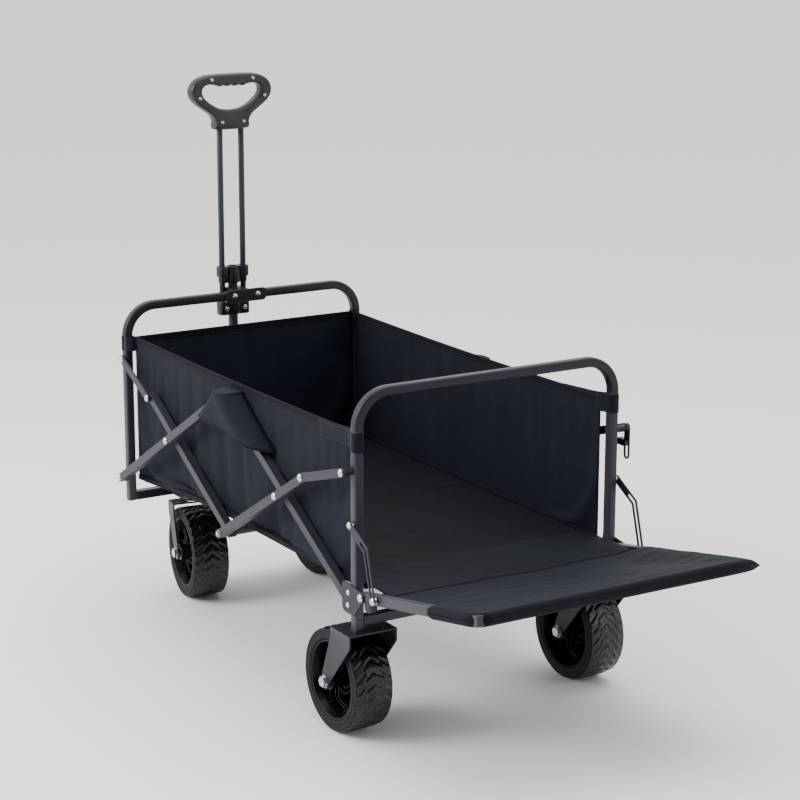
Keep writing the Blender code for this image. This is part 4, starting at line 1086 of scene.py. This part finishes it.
def screw(name, x, y, z, body, radius):
    """A pan-head screw looking along X, with its cross recess drawn as a black cross of painted shade."""
    dome = turned(name, [(radius, -0.0020), (radius, 0.0006), (radius * 0.8, 0.0017), (radius * 0.45, 0.0022),
                         (radius * 0.02, 0.0022)], zinc, 24)
    painted_recess_shades = []
    # the cross recess is two black bars standing just proud of the head: painted shade where the recess is
    for turn in (45, 135):
        way = Vector((math.cos(math.radians(turn)), 0, math.sin(math.radians(turn))))
        across = Vector((-way.z, 0, way.x))
        rings = [[way * s + across * w + Vector((0, h, 0)) for w, h in
                  ((-0.00035, 0.0018), (0.00035, 0.0018), (0.00035, 0.00228), (-0.00035, 0.00228))]
                 for s in (-radius * 0.5, radius * 0.5)]
        painted_recess_shades.append(loft(f"{name}_painted_recess_shade_{turn}", rings, black_rubber_and_recess_shade, smooth=20))
    made = join_pieces(name, [dome, *painted_recess_shades])
    made.matrix_world = Matrix.Translation((x, y, z)) @ Matrix.Rotation(-math.pi / 2, 4, "Z")
    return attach(made, body)


GRIP_SCREWS = ((-0.0440, -0.0098), (0.0440, -0.0098), (-0.0690, -0.0440), (0.0690, -0.0440),
               (-0.0230, -0.0920), (0.0230, -0.0920))
for index, (y, z) in enumerate(GRIP_SCREWS):
    screw(f"grip_screw_{index + 1}", GRIP_X + GRIP_HALF_DEPTH - 0.0004, POLE_AXIS_Y + y,
          GRIP_TOP_Z + z, "handle", radius=0.0034)


def lobed_outline(lobes, web, half_width, steps=72):
    """Plan of a moulded block: round lobes joined by a web. Each lobe is (place across, radius)."""
    front = []
    for k in range(steps + 1):
        y = half_width * -math.cos(math.pi * k / steps)
        depth = web
        for centre, radius in lobes:
            inside = radius ** 2 - (y - centre) ** 2
            if inside > 0:
                depth = max(depth, math.sqrt(inside))
        edge = half_width - abs(y)
        front.append((depth * math.sqrt(max(1 - (1 - min(edge / 0.004, 1)) ** 2, 0.0)) + 0.0002, y))
    return front + [(-x, y) for x, y in reversed(front[1:-1])]


def block(name, lobes, web, half_width, low, high):
    """A moulded block with its upper and lower edges rounded off."""
    outline = lobed_outline(lobes, web, half_width)
    rings = []
    for z, grow in ((low, 0.955), (low + 0.0007, 0.985), (low + 0.0018, 1.0), (high - 0.0018, 1.0),
                    (high - 0.0007, 0.985), (high, 0.955)):
        rings.append([(POLE_AXIS_X + x * grow, POLE_AXIS_Y + y * grow, z) for x, y in outline])
    return loft(name, rings, block_plastic, smooth=32)


def rod_and_pole_lobes(rod_lobe, pole_lobe):
    """A round lobe over each rod, and one over the pole between them."""
    return [(-ROD_HALF, rod_lobe), (ROD_HALF, rod_lobe), (0, pole_lobe)]


low, high = (corner.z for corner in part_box("guide_block"))
collar = join_pieces("guide_collar", [
    block("guide_top", rod_and_pole_lobes(0.0125, 0.0115), 0.0070, 0.0330, low + 0.012, high),
    block("guide_low", rod_and_pole_lobes(0.0088, 0.0135), 0.0050, 0.0300, low, low + 0.0125),
    block("guide_boss", [(0, 0.0145)], 0.0, 0.0145, low + 0.004, high - 0.006)])
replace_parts(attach(collar, "pole"), "guide_block")
low, high = (corner.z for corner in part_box("slider_block"))
slider = join_pieces("slider_collar", [
    block("slider_body", rod_and_pole_lobes(0.0130, 0.0140), 0.0105, 0.0330, low, high),
    block("slider_rib", [(0, 0.0155)], 0.0, 0.0155, low + 0.003, high - 0.005)])
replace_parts(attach(slider, "handle"), "slider_block")
for index, y in enumerate((-0.0195, 0.0195)):
    screw(f"slider_screw_{index + 1}", POLE_AXIS_X + 0.0130, POLE_AXIS_Y + y, (low + high) / 2,
          "handle", radius=0.0044)

# the clip on the front hoop that the pole snaps into, and its two bolts
finish_node("pole_clip", block_plastic, 0.0012)
clip = centre_of("pole_clip")
hoop_face_x = FRONT_POST.x + TUBE / 2
plate = [[(hoop_face_x + dx, POLE_AXIS_Y + y, clip.z + z)
          for y, z in rounded_box_section(0.0880 - shrink, 0.0250 - shrink, 0.0080, 6)]
         for dx, shrink in ((0.0003, 0.0), (0.0024, 0.0), (0.0032, 0.0018))]
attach(loft("clip_backplate", plate, block_plastic, smooth=32), "front_frame")
for index, y in enumerate((-0.0250, 0.0250)):
    screw(f"clip_bolt_{index + 1}", hoop_face_x + 0.0030, POLE_AXIS_Y + y, clip.z, "front_frame",
          radius=0.0056)


# ---- Studio ----------------------------------------------------------------------------------
# A pale seamless floor, a bright surround that darkens towards the tailgate end, and soft boxes
# over the wagon's left side, above and behind. They aren't part of the wagon.
studio_floor = object_from("studio_floor", [(-30, -30, 0), (30, -30, 0), (30, 30, 0), (-30, 30, 0)],
                           [(0, 1, 2, 3)], start_material("matt_white_floor_paint", "#F2F2F2", 0.9)[0])

world = bpy.data.worlds.new("studio")
bpy.context.scene.world = world
world.use_nodes = True
surround = world.node_tree
toward = node(surround, "ShaderNodeVectorMath", {"operation": "DOT_PRODUCT", "1": (0.86, -0.20, 0.10)},
              i0=node(surround, "ShaderNodeTexCoord").outputs["Generated"])
fade = ramp(surround, toward.outputs["Value"], -0.25, 0.75, "#FFFFFF", "#3A3A3A")
surround.links.new(fade, surround.nodes["Background"].inputs["Color"])
surround.nodes["Background"].inputs["Strength"].default_value = 1.9


def soft_box(name, place, aim, size, power):
    """A square area light that looks at a point."""
    light = bpy.data.lights.new(name, "AREA")
    light.shape, light.size, light.energy = "SQUARE", size, power
    made = bpy.data.objects.new(name, light)
    bpy.context.scene.collection.objects.link(made)
    made.location = place
    made.rotation_euler = (Vector(aim) - Vector(place)).to_track_quat("-Z", "Y").to_euler()


soft_box("key", (-1.2, -3.4, 2.4), (0, 0, 0.3), 2.0, 150)
soft_box("top", (0.3, 0.2, 3.4), (0, 0, 0.2), 2.4, 60)
soft_box("rear_fill", (3.2, 1.8, 1.8), (0, 0, 0.3), 1.8, 30)

camera_data = bpy.data.cameras.new("camera")
camera_data.lens, camera_data.sensor_width = 100.03, 36.0
camera = bpy.data.objects.new("camera", camera_data)
bpy.context.scene.collection.objects.link(camera)
camera.location = at(3.3637, -1.9549, 1.4105)
camera.rotation_euler = (at(0.1535, 0.0, 0.4808) - camera.location).to_track_quat("-Z", "Y").to_euler()
camera.rotation_euler.rotate_axis("Z", math.radians(0.10))
bpy.context.scene.camera = camera
